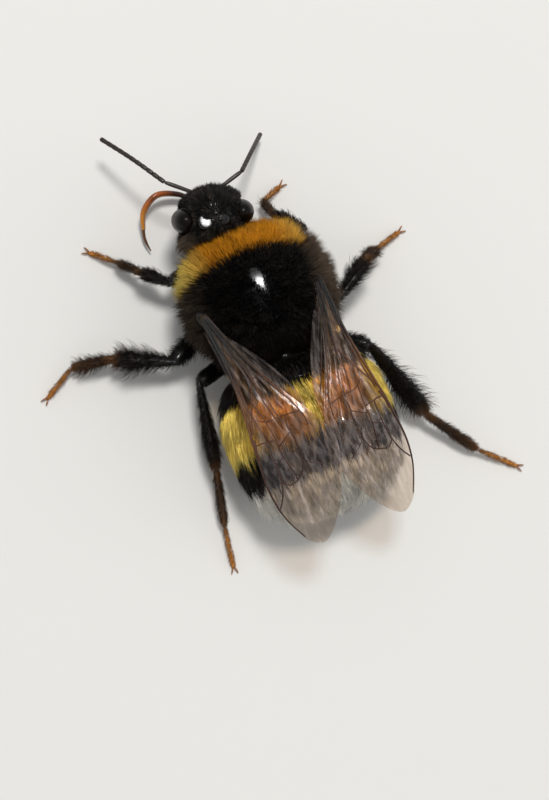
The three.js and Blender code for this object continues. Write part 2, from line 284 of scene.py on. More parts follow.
# Joints of each leg from the hip out: coxa, femur, tibia, basitarsus, tarsus, tip of the foot.
LEG_JOINTS = {
    "left_fore": [
        (1.5, -2.2, 2.5), (2.4, -2.7, 1.75), (4.7, -2.1, 3.1),
        (6.08, -3.51, 2.0), (7.17, -4.77, 0.75), (8.56, -6.02, 0.12),
    ],
    "right_fore": [
        (-1.0, -2.2, 2.5), (-1.9, -3.0, 1.9), (-4.25, -2.55, 3.4),
        (-3.0, -4.18, 2.0), (-2.89, -5.34, 0.75), (-4.41, -6.0, 0.12),
    ],
    "left_mid": [
        (1.9, 0.3, 2.2), (3.0, 0.9, 1.5), (6.09, 2.51, 2.6),
        (9.54, 0.96, 1.7), (12.07, 0.55, 0.8), (14.1, 1.8, 0.12),
    ],
    "right_mid": [
        (-1.5, 0.3, 2.2), (-2.5, 0.6, 1.5), (-4.75, 2.3, 3.4),
        (-7.4, 0.47, 2.8), (-8.58, -0.06, 0.8), (-10.58, -0.69, 0.12),
    ],
    "left_hind": [
        (1.5, 2.7, 2.1), (2.2, 3.3, 1.5), (5.15, 4.3, 3.3),
        (5.9, 9.63, 1.9), (6.53, 13.09, 0.8), (6.84, 15.67, 0.12),
    ],
    "right_hind": [
        (-1.5, 2.9, 2.1), (-2.3, 3.7, 1.5), (-5.63, 5.71, 3.2),
        (-7.65, 10.86, 1.8), (-10.18, 14.08, 0.8), (-12.36, 15.95, 0.12),
    ],
}
LEG_JOINTS = {leg: np.array(joints) for leg, joints in LEG_JOINTS.items()}
LEG_PARTS = ("coxa", "femur", "tibia", "basitarsus", "tarsus")
# Width and depth of each length, in the order of LEG_PARTS: the outline of its coat, and the shell under it.
LEG_COAT = {
    "fore": ((1.3, 1.2), (1.25, 1.1), (1.3, 1.1), (1.0, 0.8), (0.6, 0.55)),
    "mid": ((1.4, 1.3), (1.4, 1.2), (1.75, 1.3), (1.2, 0.85), (0.6, 0.55)),
    "hind": ((1.5, 1.3), (1.4, 1.2), (2.4, 1.0), (1.0, 0.75), (0.6, 0.55)),
}
LEG_SHELL = {
    "fore": ((0.95, 0.9), (0.85, 0.75), (0.72, 0.6), (0.46, 0.38), (0.3, 0.26)),
    "mid": ((1.05, 1.0), (0.95, 0.8), (0.95, 0.62), (0.62, 0.4), (0.3, 0.26)),
    "hind": ((1.1, 1.0), (1.0, 0.85), (1.25, 0.5), (0.66, 0.36), (0.3, 0.26)),
}
# The share of its breadth that each length starts with, and how far it starts inside the one before.
LEG_TAPER = {"coxa": 1, "femur": 0.9, "tibia": 0.5, "basitarsus": 0.85, "tarsus": 0.9}
LEG_REACH = {"coxa": 0, "femur": 0.3, "tibia": 0.3, "basitarsus": 0.25, "tarsus": 0.2}
# How much longer the hair is along the edges of each length.
LEG_FRINGE = {"coxa": 0.2, "femur": 0.45, "tibia": 0.5, "basitarsus": 0.35, "tarsus": 0.3}
# The direction in which each leg's lengths are wide, and the same for every foot.
LEG_FACE = {
    "left_fore": (0.3, 0.3, 1),
    "right_fore": (0.3, 0.3, 1),
    "left_mid": (0, 1, 0.25),
    "right_mid": (0, 0.5, 1),
    "left_hind": (0, 0, 1),
    "right_hind": (-1, 0, 0.75),
}
FOOT_FACE = (0.2, 0.2, 1)


def leg_form(leg, part, sizes):
    """One length of a leg, starting a little inside the length before it."""
    at = LEG_PARTS.index(part)
    joints = LEG_JOINTS[leg]
    back = unit(joints[at] - joints[at + 1]) * LEG_REACH[part]
    side = FOOT_FACE if part == "tarsus" else LEG_FACE[leg]
    wide, deep = sizes[leg.split("_")[1]][at]
    return limb_form(joints[at] + back, joints[at + 1], side, wide, deep, LEG_TAPER[part])


# ------------------------------------------------------------------ from the bee frame to real size
def bee_origin():
    """Where the bee frame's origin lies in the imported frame, from the foremost point of the collar."""
    points = (v.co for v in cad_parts["collar"].data.vertices)
    pole = min(points, key=lambda co: co.y)
    return Vector((pole.x - THORAX["x"] * MM, pole.y - THORAX["front"] * MM, 0))


ORIGIN = bee_origin()
TO_LIFE = Matrix.Translation(ORIGIN) @ Matrix.Scale(MM, 4)


def clear_selection():
    if bpy.context.object and bpy.context.object.mode != "OBJECT":
        bpy.ops.object.mode_set(mode="OBJECT")
    bpy.ops.object.select_all(action="DESELECT")


def choose(*objs):
    """Selects these objects alone and makes the first one active."""
    clear_selection()
    for obj in objs:
        obj.select_set(True)
    bpy.context.view_layer.objects.active = objs[0]


def settle(obj, name, slot, material, *nodes):
    """Brings a piece from the bee frame to its real size and place, and gives it to the frame."""
    choose(obj)
    obj.matrix_world = TO_LIFE @ obj.matrix_world
    bpy.ops.object.transform_apply(location=True, rotation=True, scale=True)
    return enter(obj, name, slot, material, *nodes)


def enter(obj, name, slot, material, *nodes):
    """Names a piece that is in place, gives it its material, and rides it on the frame."""
    obj.name = name
    obj.data.name = name
    obj.data.materials.clear()
    obj.data.materials.append(material)
    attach(obj, "root")
    if nodes:
        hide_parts(*nodes)
    return obj


# ------------------------------------------------------------------ modelling helpers
def added(name, data):
    """A new object in the scene."""
    obj = bpy.data.objects.new(name, data)
    bpy.context.scene.collection.objects.link(obj)
    return obj


def closed_up(weld):
    """Welds the mesh that is being edited where it closes to a point, and turns its faces outward."""
    bpy.ops.mesh.select_all(action="SELECT")
    bpy.ops.mesh.remove_doubles(threshold=weld)
    bpy.ops.mesh.normals_make_consistent(inside=False)
    bpy.ops.object.mode_set(mode="OBJECT")


def drawn_out(name, form, rings, around, *edges):
    """Draws a circle of so many corners out along a form, ring by ring, into one closed solid."""
    clear_selection()
    bpy.ops.mesh.primitive_circle_add(vertices=around, radius=1.0, location=(0, 0, 0))
    obj = bpy.context.object
    obj.name = name
    bpy.ops.object.mode_set(mode="EDIT")
    bpy.ops.mesh.select_all(action="SELECT")
    before = None
    for t in rounded_stations(rings, *edges):
        now = (
            max(float(form.width(t)), POLE),
            max(float(form.depth(t)), POLE),
            -float(form.lift(t)),
            float(t) * form.length,
        )
        if before is None:
            before = (1.0, 1.0, 0.0, 0.0)
            bpy.ops.transform.translate(value=(0, now[2], now[3]))
        else:
            move = {"value": (0, now[2] - before[2], now[3] - before[3])}
            bpy.ops.mesh.extrude_region_move(TRANSFORM_OT_translate=move)
        scale = (now[0] / before[0], now[1] / before[1], 1)
        bpy.ops.transform.resize(value=scale, center_override=(0, now[2], now[3]))
        before = now
    closed_up(POLE * 2.2)
    obj.matrix_world = form.matrix()
    bpy.ops.object.transform_apply(location=True, rotation=True, scale=True)
    bpy.ops.object.shade_smooth()
    return obj


def rounded_stations(count, *edges):
    """Shares of a length, closer together at both ends, with a sharp pair at each edge."""
    shares = list((1 - np.cos(np.linspace(0, pi, count))) / 2)
    for edge in edges:
        shares = [s for s in shares if abs(s - edge) > 0.008]
        shares += [edge - 0.004, edge + 0.001]
    return sorted(shares)


def apply_all(obj):
    choose(obj)
    for modifier in list(obj.modifiers):
        bpy.ops.object.modifier_apply(modifier=modifier.name)


def is_closed(mesh):
    """Whether every edge has a face on both sides."""
    edges = np.empty(len(mesh.loops), np.int32)
    mesh.loops.foreach_get("edge_index", edges)
    return bool((np.bincount(edges, minlength=len(mesh.edges)) == 2).all())


def healed(obj):
    """Welds what a join left a hair apart, by as little as leaves the solid closed."""
    raw = obj.data
    for weld in WELDS:
        obj.data = raw.copy()
        choose(obj)
        bpy.ops.object.mode_set(mode="EDIT")
        bpy.ops.mesh.select_mode(type="VERT")
        bpy.ops.mesh.select_all(action="SELECT")
        bpy.ops.mesh.remove_doubles(threshold=weld)
        bpy.ops.mesh.dissolve_degenerate(threshold=TOUCH)
        bpy.ops.mesh.select_all(action="SELECT")
        bpy.ops.mesh.delete_loose()
        bpy.ops.mesh.select_all(action="DESELECT")
        bpy.ops.mesh.select_mode(type="EDGE")
        bpy.ops.mesh.select_non_manifold()
        bpy.ops.mesh.fill_holes(sides=0)
        bpy.ops.mesh.select_mode(type="VERT")
        bpy.ops.object.mode_set(mode="OBJECT")
        if is_closed(obj.data):
            break
    bpy.data.meshes.remove(raw)
    return obj


def fused(main, *others):
    """Joins overlapping closed solids into one skin with no walls inside it."""
    for other in others:
        boolean = main.modifiers.new("Fuse", "BOOLEAN")
        boolean.operation = "UNION"
        boolean.solver = "EXACT"
        boolean.object = other
        apply_all(main)
        bpy.data.objects.remove(other)
    return healed(main)


def joined(first, *others):
    """Joins separate closed solids into one object."""
    choose(first, *others)
    bpy.ops.object.join()
    return first


def tube(name, points, radii, sides=3):
    """A closed round cord of varying radius along a smooth path. sides sets its roundness."""
    curve = bpy.data.curves.new(name, "CURVE")
    curve.dimensions = "3D"
    curve.bevel_depth = 1.0
    curve.bevel_resolution = sides
    curve.use_fill_caps = True
    curve.resolution_u = 1
    path = smooth_path(points, max(6, 4 * len(points)))
    spline = curve.splines.new("POLY")
    spline.points.add(len(path) - 1)
    spread = np.interp(np.linspace(0, 1, len(path)), np.linspace(0, 1, len(radii)), radii)
    for point, place, radius in zip(spline.points, path, spread):
        point.co = (*place, 1)
        point.radius = radius
    choose(added(name, curve))
    bpy.ops.object.convert(target="MESH")
    bpy.ops.object.mode_set(mode="EDIT")
    closed_up(TOUCH)
    bpy.ops.object.shade_smooth_by_angle(angle=radians(60))
    return bpy.context.object


def smooth_path(points, count):
    """Points along a curve that passes through each of the given ones."""
    points = np.array(points, float)
    padded = np.vstack([2 * points[0] - points[1], points, 2 * points[-1] - points[-2]])
    made = []
    for share in np.linspace(0, len(points) - 1 - 1e-9, count):
        i = int(share)
        u = share - i
        a, b, c, d = padded[i : i + 4]
        made.append(
            0.5 * (2 * b + (c - a) * u + (2 * a - 5 * b + 4 * c - d) * u**2 + (3 * b - a - 3 * c + d) * u**3)
        )
    return np.array(made)


def paint(obj, colours):
    """Stores a linear colour for each vertex, which the finishes read as marking."""
    rgba = np.ones((len(obj.data.vertices), 4), np.float32)
    rgba[:, :3] = colours
    layer = obj.data.attributes.new("marking", "FLOAT_COLOR", "POINT")
    layer.data.foreach_set("color", rgba.ravel())


def store(obj, name, values):
    """Stores a number for each vertex, which the finishes read by this name."""
    layer = obj.data.attributes.new(name, "FLOAT", "POINT")
    layer.data.foreach_set("value", values.astype(np.float32))


def places(obj):
    """An object's vertices as an array, in its own frame."""
    co = np.empty(len(obj.data.vertices) * 3, np.float32)
    obj.data.vertices.foreach_get("co", co)
    return co.reshape(-1, 3).astype(float)


def move_to(obj, co):
    obj.data.vertices.foreach_set("co", co.astype(np.float32).ravel())
    obj.data.update()


# ------------------------------------------------------------------ settings a user may change
def tint(name, description, code):
    """A colour setting that starts from six hex digits."""
    return FloatVectorProperty(name=name, description=description, subtype="COLOR", default=linear(code))


class BeeColours(bpy.types.PropertyGroup):
    """Colours of the bee's coat and shell."""

    black: tint("Black", "Dark coat", "120f0d")
    brown: tint("Brown", "Low flanks", "55473a")
    gold: tint("Gold", "Middle of the collar", "d88c0c")
    lemon: tint("Lemon", "Band on the abdomen", "ffe270")
    white: tint("White", "Tail band", "faf6ec")
    amber: tint("Amber", "Feet and tongue", "ab6c36")
    umber: tint("Umber", "Wing veins", "3a2015")
    # pale colour painted on hair tips as a painted sheen
    patina_and_tip_sheen: tint("TipSheenColour", "Faded tips", "8f8170")


class BeeCoat(bpy.types.PropertyGroup):
    """How thick the coat grows."""

    width: FloatProperty(
        name="Tuft Width",
        description="Across the foot of a tuft",
        default=0.05 * MM,
        unit="LENGTH",
        precision=6,
    )
    density: FloatProperty(
        name="Density", description="Share of the full number of tufts", default=1.0, min=0.05
    )
    seed: IntProperty(name="Seed", description="Start of the random draws", default=7)


class BeeWings(bpy.types.PropertyGroup):
    """The wings' film."""

    film: FloatProperty(
        name="Film", description="Thickness of the membrane", default=0.03 * MM, unit="LENGTH", precision=6
    )
    pleat: FloatProperty(
        name="Pleat", description="Depth of the pleats", default=0.14 * MM, unit="LENGTH", precision=6
    )


class BeeStage(bpy.types.PropertyGroup):
    """The floor and the lamps."""

    floor: tint("Floor", "Floor colour", "e8e5df")
    side: FloatProperty(name="Floor Side", description="Side of the floor", default=1.2, unit="LENGTH")
    key: FloatProperty(name="Key", description="Power of the main lamp in watts", default=2.3)
    fill: FloatProperty(name="Fill", description="Power of the side lamp in watts", default=0.45)


def colour(name):
    return np.array(getattr(bpy.context.scene.bee_colours, name), float)


# ------------------------------------------------------------------ markings, shared by skin and coat
COLLAR_BACK = -2.0  # the pale collar ends here in the middle, and further back at its two ends
COLLAR_CURVE = 0.05  # how fast its hind edge runs back to the sides
COLLAR_FADE = 0.7  # breadth of its streaky hind border
BORDER_DARK = 0.3  # brightness of the gold there
COLLAR_FOOT = 3.2  # height at which the collar fades into the dark flank
COLLAR_RIGHT = -4.0  # the collar ends here on the right
RIGHT_FLANK_PAINTED_LIGHT = 2.0  # brightness of the brown hair on the right flank against plain brown: painted sunlight on that flank
CHEST = {"x": (1.2, 2.4), "y": (-1.4, -2.2), "z": (5.0, 4.3)}  # brown coat below the collar's left end
SKIN_SHARE = 0.12  # how much of the coat's colour the skin under it shows


def collar_share(points):
    """How much of the pale collar there is at points of the bee, from 0 to 1."""
    edge = COLLAR_BACK + COLLAR_CURVE * (points[:, 0] - 0.3) ** 2
    ahead = held((edge - points[:, 1]) / COLLAR_FADE + 0.5)
    ahead = ahead * held((points[:, 0] - COLLAR_RIGHT) / 0.5)
    return ahead * held((points[:, 2] - COLLAR_FOOT) / 0.8)


def pale_coat(points):
    """Gold in the middle of the collar, lemon towards its ends: fully at the left end, less than half way at
    the right.
    """
    aside = points[:, 0] - 0.3
    ends = held((np.abs(aside) - 2.2) / 2.0) * np.where(aside > 0, 1, 0.45)
    return mix(colour("gold"), colour("lemon"), ends[:, None])


def dark_coat(points):
    """Black behind the collar, and brown on the flanks, most of all low down; the right flank's brown is
    painted paler, as painted sunlight.
    """
    low = held((4.6 - points[:, 2]) / 2.0)
    aside = points[:, 0] - 0.3
    flank = held((np.abs(aside) - 3.2) / 1.4) * mix(0.6, 1, low)
    # the right flank is painted paler than the left, as painted sunlight on it
    pale = np.where(aside > 0, 1.1, RIGHT_FLANK_PAINTED_LIGHT)[:, None]
    return mix(colour("black"), colour("brown") * pale, flank[:, None])


def in_chest(points):
    """1 low on the left of the thorax, next to the head, 0 elsewhere."""
    return np.prod([eased(points[..., axis], *CHEST[name]) for axis, name in enumerate("xyz")], axis=0)


def thorax_marking(points):
    """The collar over the shoulders and the dark coat behind it."""
    return np.where(collar_share(points)[:, None] > 0.5, pale_coat(points), dark_coat(points))


BANDS = ("black", "lemon", "black", "white", "white", "black")  # colour of each ring, from the waist on


def abdomen_marking(ring):
    return np.array([colour(band) for band in BANDS])[ring]


def body_marking(points):
    """Colour of the bare skin: the coat's markings, much darker."""
    t = (points - ABDOMEN_SKIN.start) @ ABDOMEN_SKIN.axis / ABDOMEN_SKIN.length
    behind = (points[:, 1] > THORAX_SKIN.end[1] - 0.3)[:, None]
    ahead = (points[:, 1] < THORAX_SKIN.start[1] - 0.3)[:, None]
    coat = np.where(behind, abdomen_marking(ring_of(t)), thorax_marking(points))
    coat = np.where(ahead, colour("black"), coat)
    return mix(colour("black") * 0.5, coat, SKIN_SHARE)


# ------------------------------------------------------------------ finishes
def group(name, ins, outs):
    """A shader node group with named sockets; ins and outs map each socket's name to its kind."""
    made = bpy.data.node_groups.new(name, "ShaderNodeTree")
    for label, kind in ins.items():
        made.interface.new_socket(label, in_out="INPUT", socket_type=f"NodeSocket{kind}")
    for label, kind in outs.items():
        made.interface.new_socket(label, in_out="OUTPUT", socket_type=f"NodeSocket{kind}")
    return made, made.nodes.new("NodeGroupInput").outputs, made.nodes.new("NodeGroupOutput").inputs


def feed(tree, socket, value):
    """Gives a socket a plain value, or links another socket to it."""
    if isinstance(value, bpy.types.NodeSocket):
        tree.links.new(value, socket)
    else:
        socket.default_value = value


def plug(tree, made, inputs):
    """Feeds several of a node's inputs, and gives the node back."""
    for key, value in inputs.items():
        feed(tree, made.inputs[key], value)
    return made


def node(tree, kind, inputs=None, **settings):
    """Adds a node with these settings and inputs."""
    made = tree.nodes.new(f"ShaderNode{kind}")
    for key, value in settings.items():
        setattr(made, key, value)
    return plug(tree, made, inputs or {})


def calc(tree, operation, *values):
    return node(tree, "Math", dict(enumerate(values)), operation=operation).outputs[0]


def ranged(tree, value, low, high, start=0.0, end=1.0, smooth=False):
    """Maps low to high of a value onto start to end, held at both ends."""
    kind = "SMOOTHSTEP" if smooth else "LINEAR"
    inputs = {"Value": value, "From Min": low, "From Max": high, "To Min": start, "To Max": end}
    return node(tree, "MapRange", inputs, interpolation_type=kind).outputs[0]


def blended(tree, share, a, b, mode="MIX"):
    """A mix of two colours."""
    return node(tree, "Mix", {0: share, 6: a, 7: b}, data_type="RGBA", blend_type=mode).outputs[2]


def grey(tree, value):
    return node(tree, "CombineColor", {0: value, 1: value, 2: value}).outputs[0]


def stored(tree, name, output="Fac"):
    """A value that the mesh stores for each vertex."""
    return node(tree, "Attribute", attribute_name=name).outputs[output]


def bumped(tree, height, strength, distance):
    """A normal roughened by a height."""
    inputs = {"Height": height, "Strength": strength, "Distance": distance}
    return node(tree, "Bump", inputs).outputs[0]


def opaque(rgb, share=1.0):
    return (rgb[0] * share, rgb[1] * share, rgb[2] * share, 1.0)


def build_groups():
    """The node groups that the finishes of coat, shell and wings are made with."""
    tree, taken, given = group(
        "tuft_tone",
        {
            "Marking": "Color",
            "Along": "Float",
            "Shade": "Float",
            "Root": "Float",
            "TipSheenColour": "Color",
            "TipSheenShare": "Float",
        },
        {"Color": "Color", "Roughness": "Float"},
    )
    # The root is painted darker, as painted shade deep in the coat.
    depth = calc(tree, "MULTIPLY", calc(tree, "SUBTRACT", 1.0, taken["Along"]), taken["Root"])
    spread = ranged(tree, taken["Shade"], 0, 1, 0.5, 1.5)
    light = calc(tree, "MULTIPLY", calc(tree, "SUBTRACT", 1.0, depth), spread)
    base = blended(tree, 1.0, taken["Marking"], grey(tree, light), "MULTIPLY")
    # Some tips are painted paler, as a painted sheen.
    sheen_tip_mask = calc(tree, "MULTIPLY", ranged(tree, taken["Shade"], 0.55, 0.95), taken["Along"])
    tip_sheen_amount = calc(tree, "MULTIPLY", sheen_tip_mask, taken["TipSheenShare"])
    tree.links.new(blended(tree, tip_sheen_amount, base, taken["TipSheenColour"]), given["Color"])
    tree.links.new(ranged(tree, taken["Shade"], 0, 1, 0.4, 0.6), given["Roughness"])

    tree, taken, given = group(
        "shell_relief",
        {"Scale": "Float", "Pits": "Float"},
        {"Height": "Float", "Patina": "Float"},
    )
    place = node(tree, "TexCoord").outputs["Object"]
    noise = node(tree, "TexNoise", {"Vector": place, "Scale": taken["Scale"], "Detail": 3.0})
    pits = node(tree, "TexVoronoi", {"Vector": place, "Scale": calc(tree, "MULTIPLY", taken["Scale"], 1.6)})
    holes = calc(tree, "MULTIPLY", ranged(tree, pits.outputs["Distance"], 0.0, 0.3, -1.0, 0.0), taken["Pits"])
    swell = calc(tree, "MULTIPLY", noise.outputs["Fac"], 0.5)
    tree.links.new(calc(tree, "ADD", swell, holes), given["Height"])
    tree.links.new(noise.outputs["Fac"], given["Patina"])

    tree, taken, given = group(
        "wing_smoke",
        {"Span": "Float", "Chord": "Float", "Root": "Color", "Tip": "Color"},
        {"Tint": "Color", "Height": "Float"},
    )
    chord = calc(tree, "MULTIPLY", taken["Chord"], 3.0)
    place = node(tree, "CombineXYZ", {0: chord, 1: taken["Span"]}).outputs[0]
    cloud = node(tree, "TexNoise", {"Vector": place, "Scale": 0.8, "Detail": 3.0}).outputs["Fac"]
    reach = calc(tree, "ADD", taken["Span"], calc(tree, "MULTIPLY", cloud, 3.0))
    smoke = blended(tree, ranged(tree, reach, 8.2, 11.5, smooth=True), taken["Root"], taken["Tip"])
    chord = calc(tree, "MULTIPLY", taken["Chord"], 3.2)
    folds = node(tree, "CombineXYZ", {0: chord, 1: taken["Span"]}).outputs[0]
    crease = node(tree, "TexNoise", {"Vector": folds, "Scale": 1.0, "Detail": 4.0, "Distortion": 0.5})
    # The tint is painted darker over the root half and lighter on the crests of the creases, as painted fold
    # shade and light.
    depth = ranged(tree, taken["Span"], 7.0, 10.0, 0.68, 0.94)
    lit = ranged(tree, crease.outputs["Fac"], 0.35, 0.6, smooth=True)
    painted_crest_light = calc(tree, "MULTIPLY", lit, calc(tree, "SUBTRACT", 1.03, depth))
    painted_fold_shade = grey(tree, calc(tree, "ADD", depth, painted_crest_light))
    tree.links.new(blended(tree, 1.0, smoke, painted_fold_shade, "MULTIPLY"), given["Tint"])
    tree.links.new(crease.outputs["Fac"], given["Height"])


def finish(name):
    """A new material, its tree, and its Principled shader."""
    material = bpy.data.materials.new(name)
    material.use_nodes = True
    tree = material.node_tree
    return material, tree, tree.nodes["Principled BSDF"]


def use_group(tree, name, inputs):
    return node(tree, "Group", inputs, node_tree=bpy.data.node_groups[name]).outputs


# Each coat: by how much it is painted darker at the root, as painted shade deep in the coat, how far its tips
# are painted paler, as a painted sheen, and its gloss.
HAIRS = {
    "collar_hair": (0.6, 0.04, 0.2),
    "thorax_hair": (0.6, 0.1, 0.08),
    "ring_hair_black": (0.6, 0.25, 0.15),
    "ring_hair_lemon": (0.22, 0.0, 0.4),
    "ring_hair_white": (0.28, 0.0, 0.3),
    "head_hair": (0.5, 0.5, 0.2),
    "leg_hair": (0.4, 0.12, 0.15),
}
# Each shell: grains to a metre, depth of the pits, roughness, strength of the relief, and gloss.
SHELLS = {
    "body_shell": (9000.0, 0.25, 0.22, 0.12, 0.3),
    "ocellus_shell": (9000.0, 0.0, 0.12, 0.3, 0.6),
    "jaw_shell": (12000.0, 0.3, 0.25, 0.3, 0.3),
    "feeler_shell": (16000.0, 0.5, 0.38, 0.3, 0.15),
    "tongue_shell": (14000.0, 0.2, 0.28, 0.3, 0.5),
    "leg_shell": (11000.0, 0.4, 0.32, 0.3, 0.3),
    "claw_shell": (14000.0, 0.0, 0.22, 0.3, 0.6),
    "vein_shell": (14000.0, 0.0, 0.5, 0.3, 0.03),
}


def coat_finish(name):
    """Hair: the marking's colour, painted darker at the root as painted shade deep in the coat, with some
    tips painted paler as a painted sheen.
    """
    root, tip_sheen_share, gloss = HAIRS[name]
    material, tree, shader = finish(name)
    inputs = {
        "Marking": stored(tree, "marking", "Color"),
        "Along": stored(tree, "along"),
        "Shade": stored(tree, "shade"),
        "Root": root,
        "TipSheenColour": opaque(colour("patina_and_tip_sheen")),
        "TipSheenShare": tip_sheen_share,
    }
    tone = use_group(tree, "tuft_tone", inputs)
    plug(
        tree,
        shader,
        {"Base Color": tone["Color"], "Roughness": tone["Roughness"], "Specular IOR Level": gloss},
    )
    return material


def shell_finish(name):
    """Shell: the marking's colour under a thin shine, with fine pits and a soft patina."""
    scale, pits, rough, relief_strength, gloss = SHELLS[name]
    material, tree, shader = finish(name)
    relief = use_group(tree, "shell_relief", {"Scale": scale, "Pits": pits})
    patina_and_tip_sheen = grey(tree, ranged(tree, relief["Patina"], 0.3, 0.7, 0.75, 1.3))
    inputs = {
        "Base Color": blended(tree, 1.0, stored(tree, "marking", "Color"), patina_and_tip_sheen, "MULTIPLY"),
        "Roughness": ranged(tree, relief["Patina"], 0.3, 0.7, rough * 0.8, rough * 1.3),
        "Normal": bumped(tree, relief["Height"], relief_strength, 0.02 * MM),
        "Specular IOR Level": 0.35,
        "Coat Weight": gloss,
        "Coat Roughness": 0.12,
    }
    plug(tree, shader, inputs)
    return material


FACETS = 32000.0  # facets of an eye to a metre


def eye_finish():
    """A compound eye: black-brown, with a fine honeycomb and a low shine."""
    material, tree, shader = finish("eye_facets")
    place = node(tree, "TexCoord").outputs["Object"]
    cells = node(tree, "TexVoronoi", {"Vector": place, "Scale": FACETS, "Randomness": 0.35})
    dome = ranged(tree, cells.outputs["Distance"], 0.0, 0.6, 1.0, 0.0)
    rim = ranged(tree, cells.outputs["Distance"], 0.3, 0.6)
    inputs = {
        "Base Color": blended(tree, rim, opaque(linear("0a0807")), opaque(linear("14100c"))),
        "Roughness": ranged(tree, dome, 0, 1, 0.3, 0.2),
        "Normal": bumped(tree, dome, 0.3, 0.006 * MM),
        "Specular IOR Level": 0.1,
        "Coat Weight": 0.04,
        "Coat Roughness": 0.08,
    }
    plug(tree, shader, inputs)
    return material


FILM_GLOSS = 0.13  # share of the light that a wing's film mirrors
FILM_ROOT = (0.99, 0.76, 0.43)  # what the film lets through near its root, and near its tip
FILM_TIP = (0.77, 0.67, 0.57)
FILM_SHEEN = (0.85, 0.72, 0.67)  # colour of what it mirrors


def film_finish():
    """A wing's film: mostly clear, tinted amber at the root and smoky at the tip, with a mirror's sheen."""
    material, tree, shader = finish("wing_film")
    inputs = {
        "Span": stored(tree, "span"),
        "Chord": stored(tree, "chord"),
        "Root": opaque(FILM_ROOT),
        "Tip": opaque(FILM_TIP),
    }
    smoke = use_group(tree, "wing_smoke", inputs)
    inside = node(tree, "NewGeometry").outputs["Backfacing"]
    clear = node(tree, "BsdfTransparent", {"Color": blended(tree, inside, smoke["Tint"], opaque((1, 1, 1)))})
    dull = ranged(tree, stored(tree, "span"), 3.0, 8.0, 0.4, 0.0)
    fine = ranged(tree, smoke["Height"], 0.3, 0.7, 0.12, 0.28)
    inputs = {
        "Base Color": opaque(FILM_SHEEN),
        "Metallic": 1.0,
        "Roughness": calc(tree, "ADD", fine, dull),
        "Normal": bumped(tree, smoke["Height"], 0.8, 0.06 * MM),
    }
    plug(tree, shader, inputs)
    sheen = ranged(tree, stored(tree, "span"), 4.5, 9.5, FILM_GLOSS * 0.22, FILM_GLOSS)
    crease = ranged(tree, smoke["Height"], 0.4, 0.62, 0.6, 2.0, smooth=True)
    gloss = calc(tree, "MULTIPLY", calc(tree, "MULTIPLY", sheen, crease), calc(tree, "SUBTRACT", 1.0, inside))
    both = node(tree, "MixShader", {0: gloss, 1: clear.outputs[0], 2: shader.outputs[0]})
    tree.links.new(both.outputs[0], tree.nodes["Material Output"].inputs["Surface"])
    return material


def plain_finish(name, rgb, rough):
    """A matte surface with a faint mottle."""
    material, tree, shader = finish(name)
    place = node(tree, "TexCoord").outputs["Object"]
    mottle = node(tree, "TexNoise", {"Vector": place, "Scale": 18.0, "Detail": 4.0}).outputs["Fac"]
    shown = blended(tree, mottle, opaque(rgb, 0.97), opaque(rgb))
    plug(tree, shader, {"Base Color": shown, "Roughness": rough})
    return material


# ------------------------------------------------------------------ coat of tufts
MOST_FACES = 198000  # in one piece of coat
PATCH = 0.003  # side of a tuft's patch on the coat's unwrap


def wander(rng, around, along, columns, rows):
    """Smooth random values from -1 to 1 over an unwrap that joins up round its form."""
    grid = rng.uniform(-1, 1, (rows + 2, columns))
    x = np.mod(around, 1) * columns
    y = held(along) * rows
    i = x.astype(int) % columns
    j = y.astype(int)
    u = x - np.floor(x)
    v = y - j
    u = u * u * (3 - 2 * u)
    v = v * v * (3 - 2 * v)
    near = mix(grid[j, i], grid[j, (i + 1) % columns], u)
    far = mix(grid[j + 1, i], grid[j + 1, (i + 1) % columns], u)
    return mix(near, far, v)


def scatter(form, per_mm2, keep, rng):
    """Roots spread evenly over a form: shares along it and angles round it."""
    lines, turns = 150, 180
    t_edge = np.linspace(0, 1, lines + 1)
    a_edge = np.linspace(0, 2 * pi, turns + 1)
    corners = form.place(*np.meshgrid(t_edge, a_edge, indexing="ij"))
    one = corners[1:, 1:] - corners[:-1, :-1]
    two = corners[1:, :-1] - corners[:-1, 1:]
    area = np.linalg.norm(np.cross(one, two), axis=-1) / 2
    t_mid, a_mid = np.meshgrid((t_edge[1:] + t_edge[:-1]) / 2, (a_edge[1:] + a_edge[:-1]) / 2, indexing="ij")
    middle = form.place(t_mid, a_mid)
    weight = area * keep(t_mid, a_mid, middle)
    count = int(weight.sum() * per_mm2 * bpy.context.scene.bee_coat.density)
    cells = np.searchsorted(np.cumsum(weight.ravel()) / weight.sum(), rng.random(count))
    row, column = np.divmod(np.minimum(cells, area.size - 1), turns)
    return (row + rng.random(count)) / lines, (column + rng.random(count)) / turns * 2 * pi


def reach_to(hull, roots, heading, longest):
    """How far each root's tuft may grow before it leaves the hull, at most the longest."""
    low = np.zeros(len(roots))
    high = np.full(len(roots), float(longest))
    for _ in range(12):
        middle = (low + high) / 2
        inside = hull.fill(roots + heading * middle[:, None]) < 1
        low = np.where(inside, middle, low)
        high = np.where(inside, high, middle)
    return low


def gathered(rng, form, t, around, tips, size, share):
    """Draws tips that stand close together into pointed locks of about this size, each with a tone."""
    girth = 2 * pi * float(form.width(0.5))
    row = np.floor(t * form.length / size + 0.8 * wander(rng, around, t, 30, 20))
    column = np.floor(around * girth / size + 0.5 * (row % 2) + 0.8 * wander(rng, around, t, 30, 20))
    _, lock = np.unique(row * 1000 + column, return_inverse=True)
    count = np.bincount(lock)
    middle = np.stack([np.bincount(lock, tips[:, axis]) / count for axis in range(3)], axis=1)
    tone = rng.uniform(-1, 1, len(count))[lock]
    return mix(tips, middle[lock], (share * rng.uniform(0.4, 1.0, len(t)))[:, None]), tone


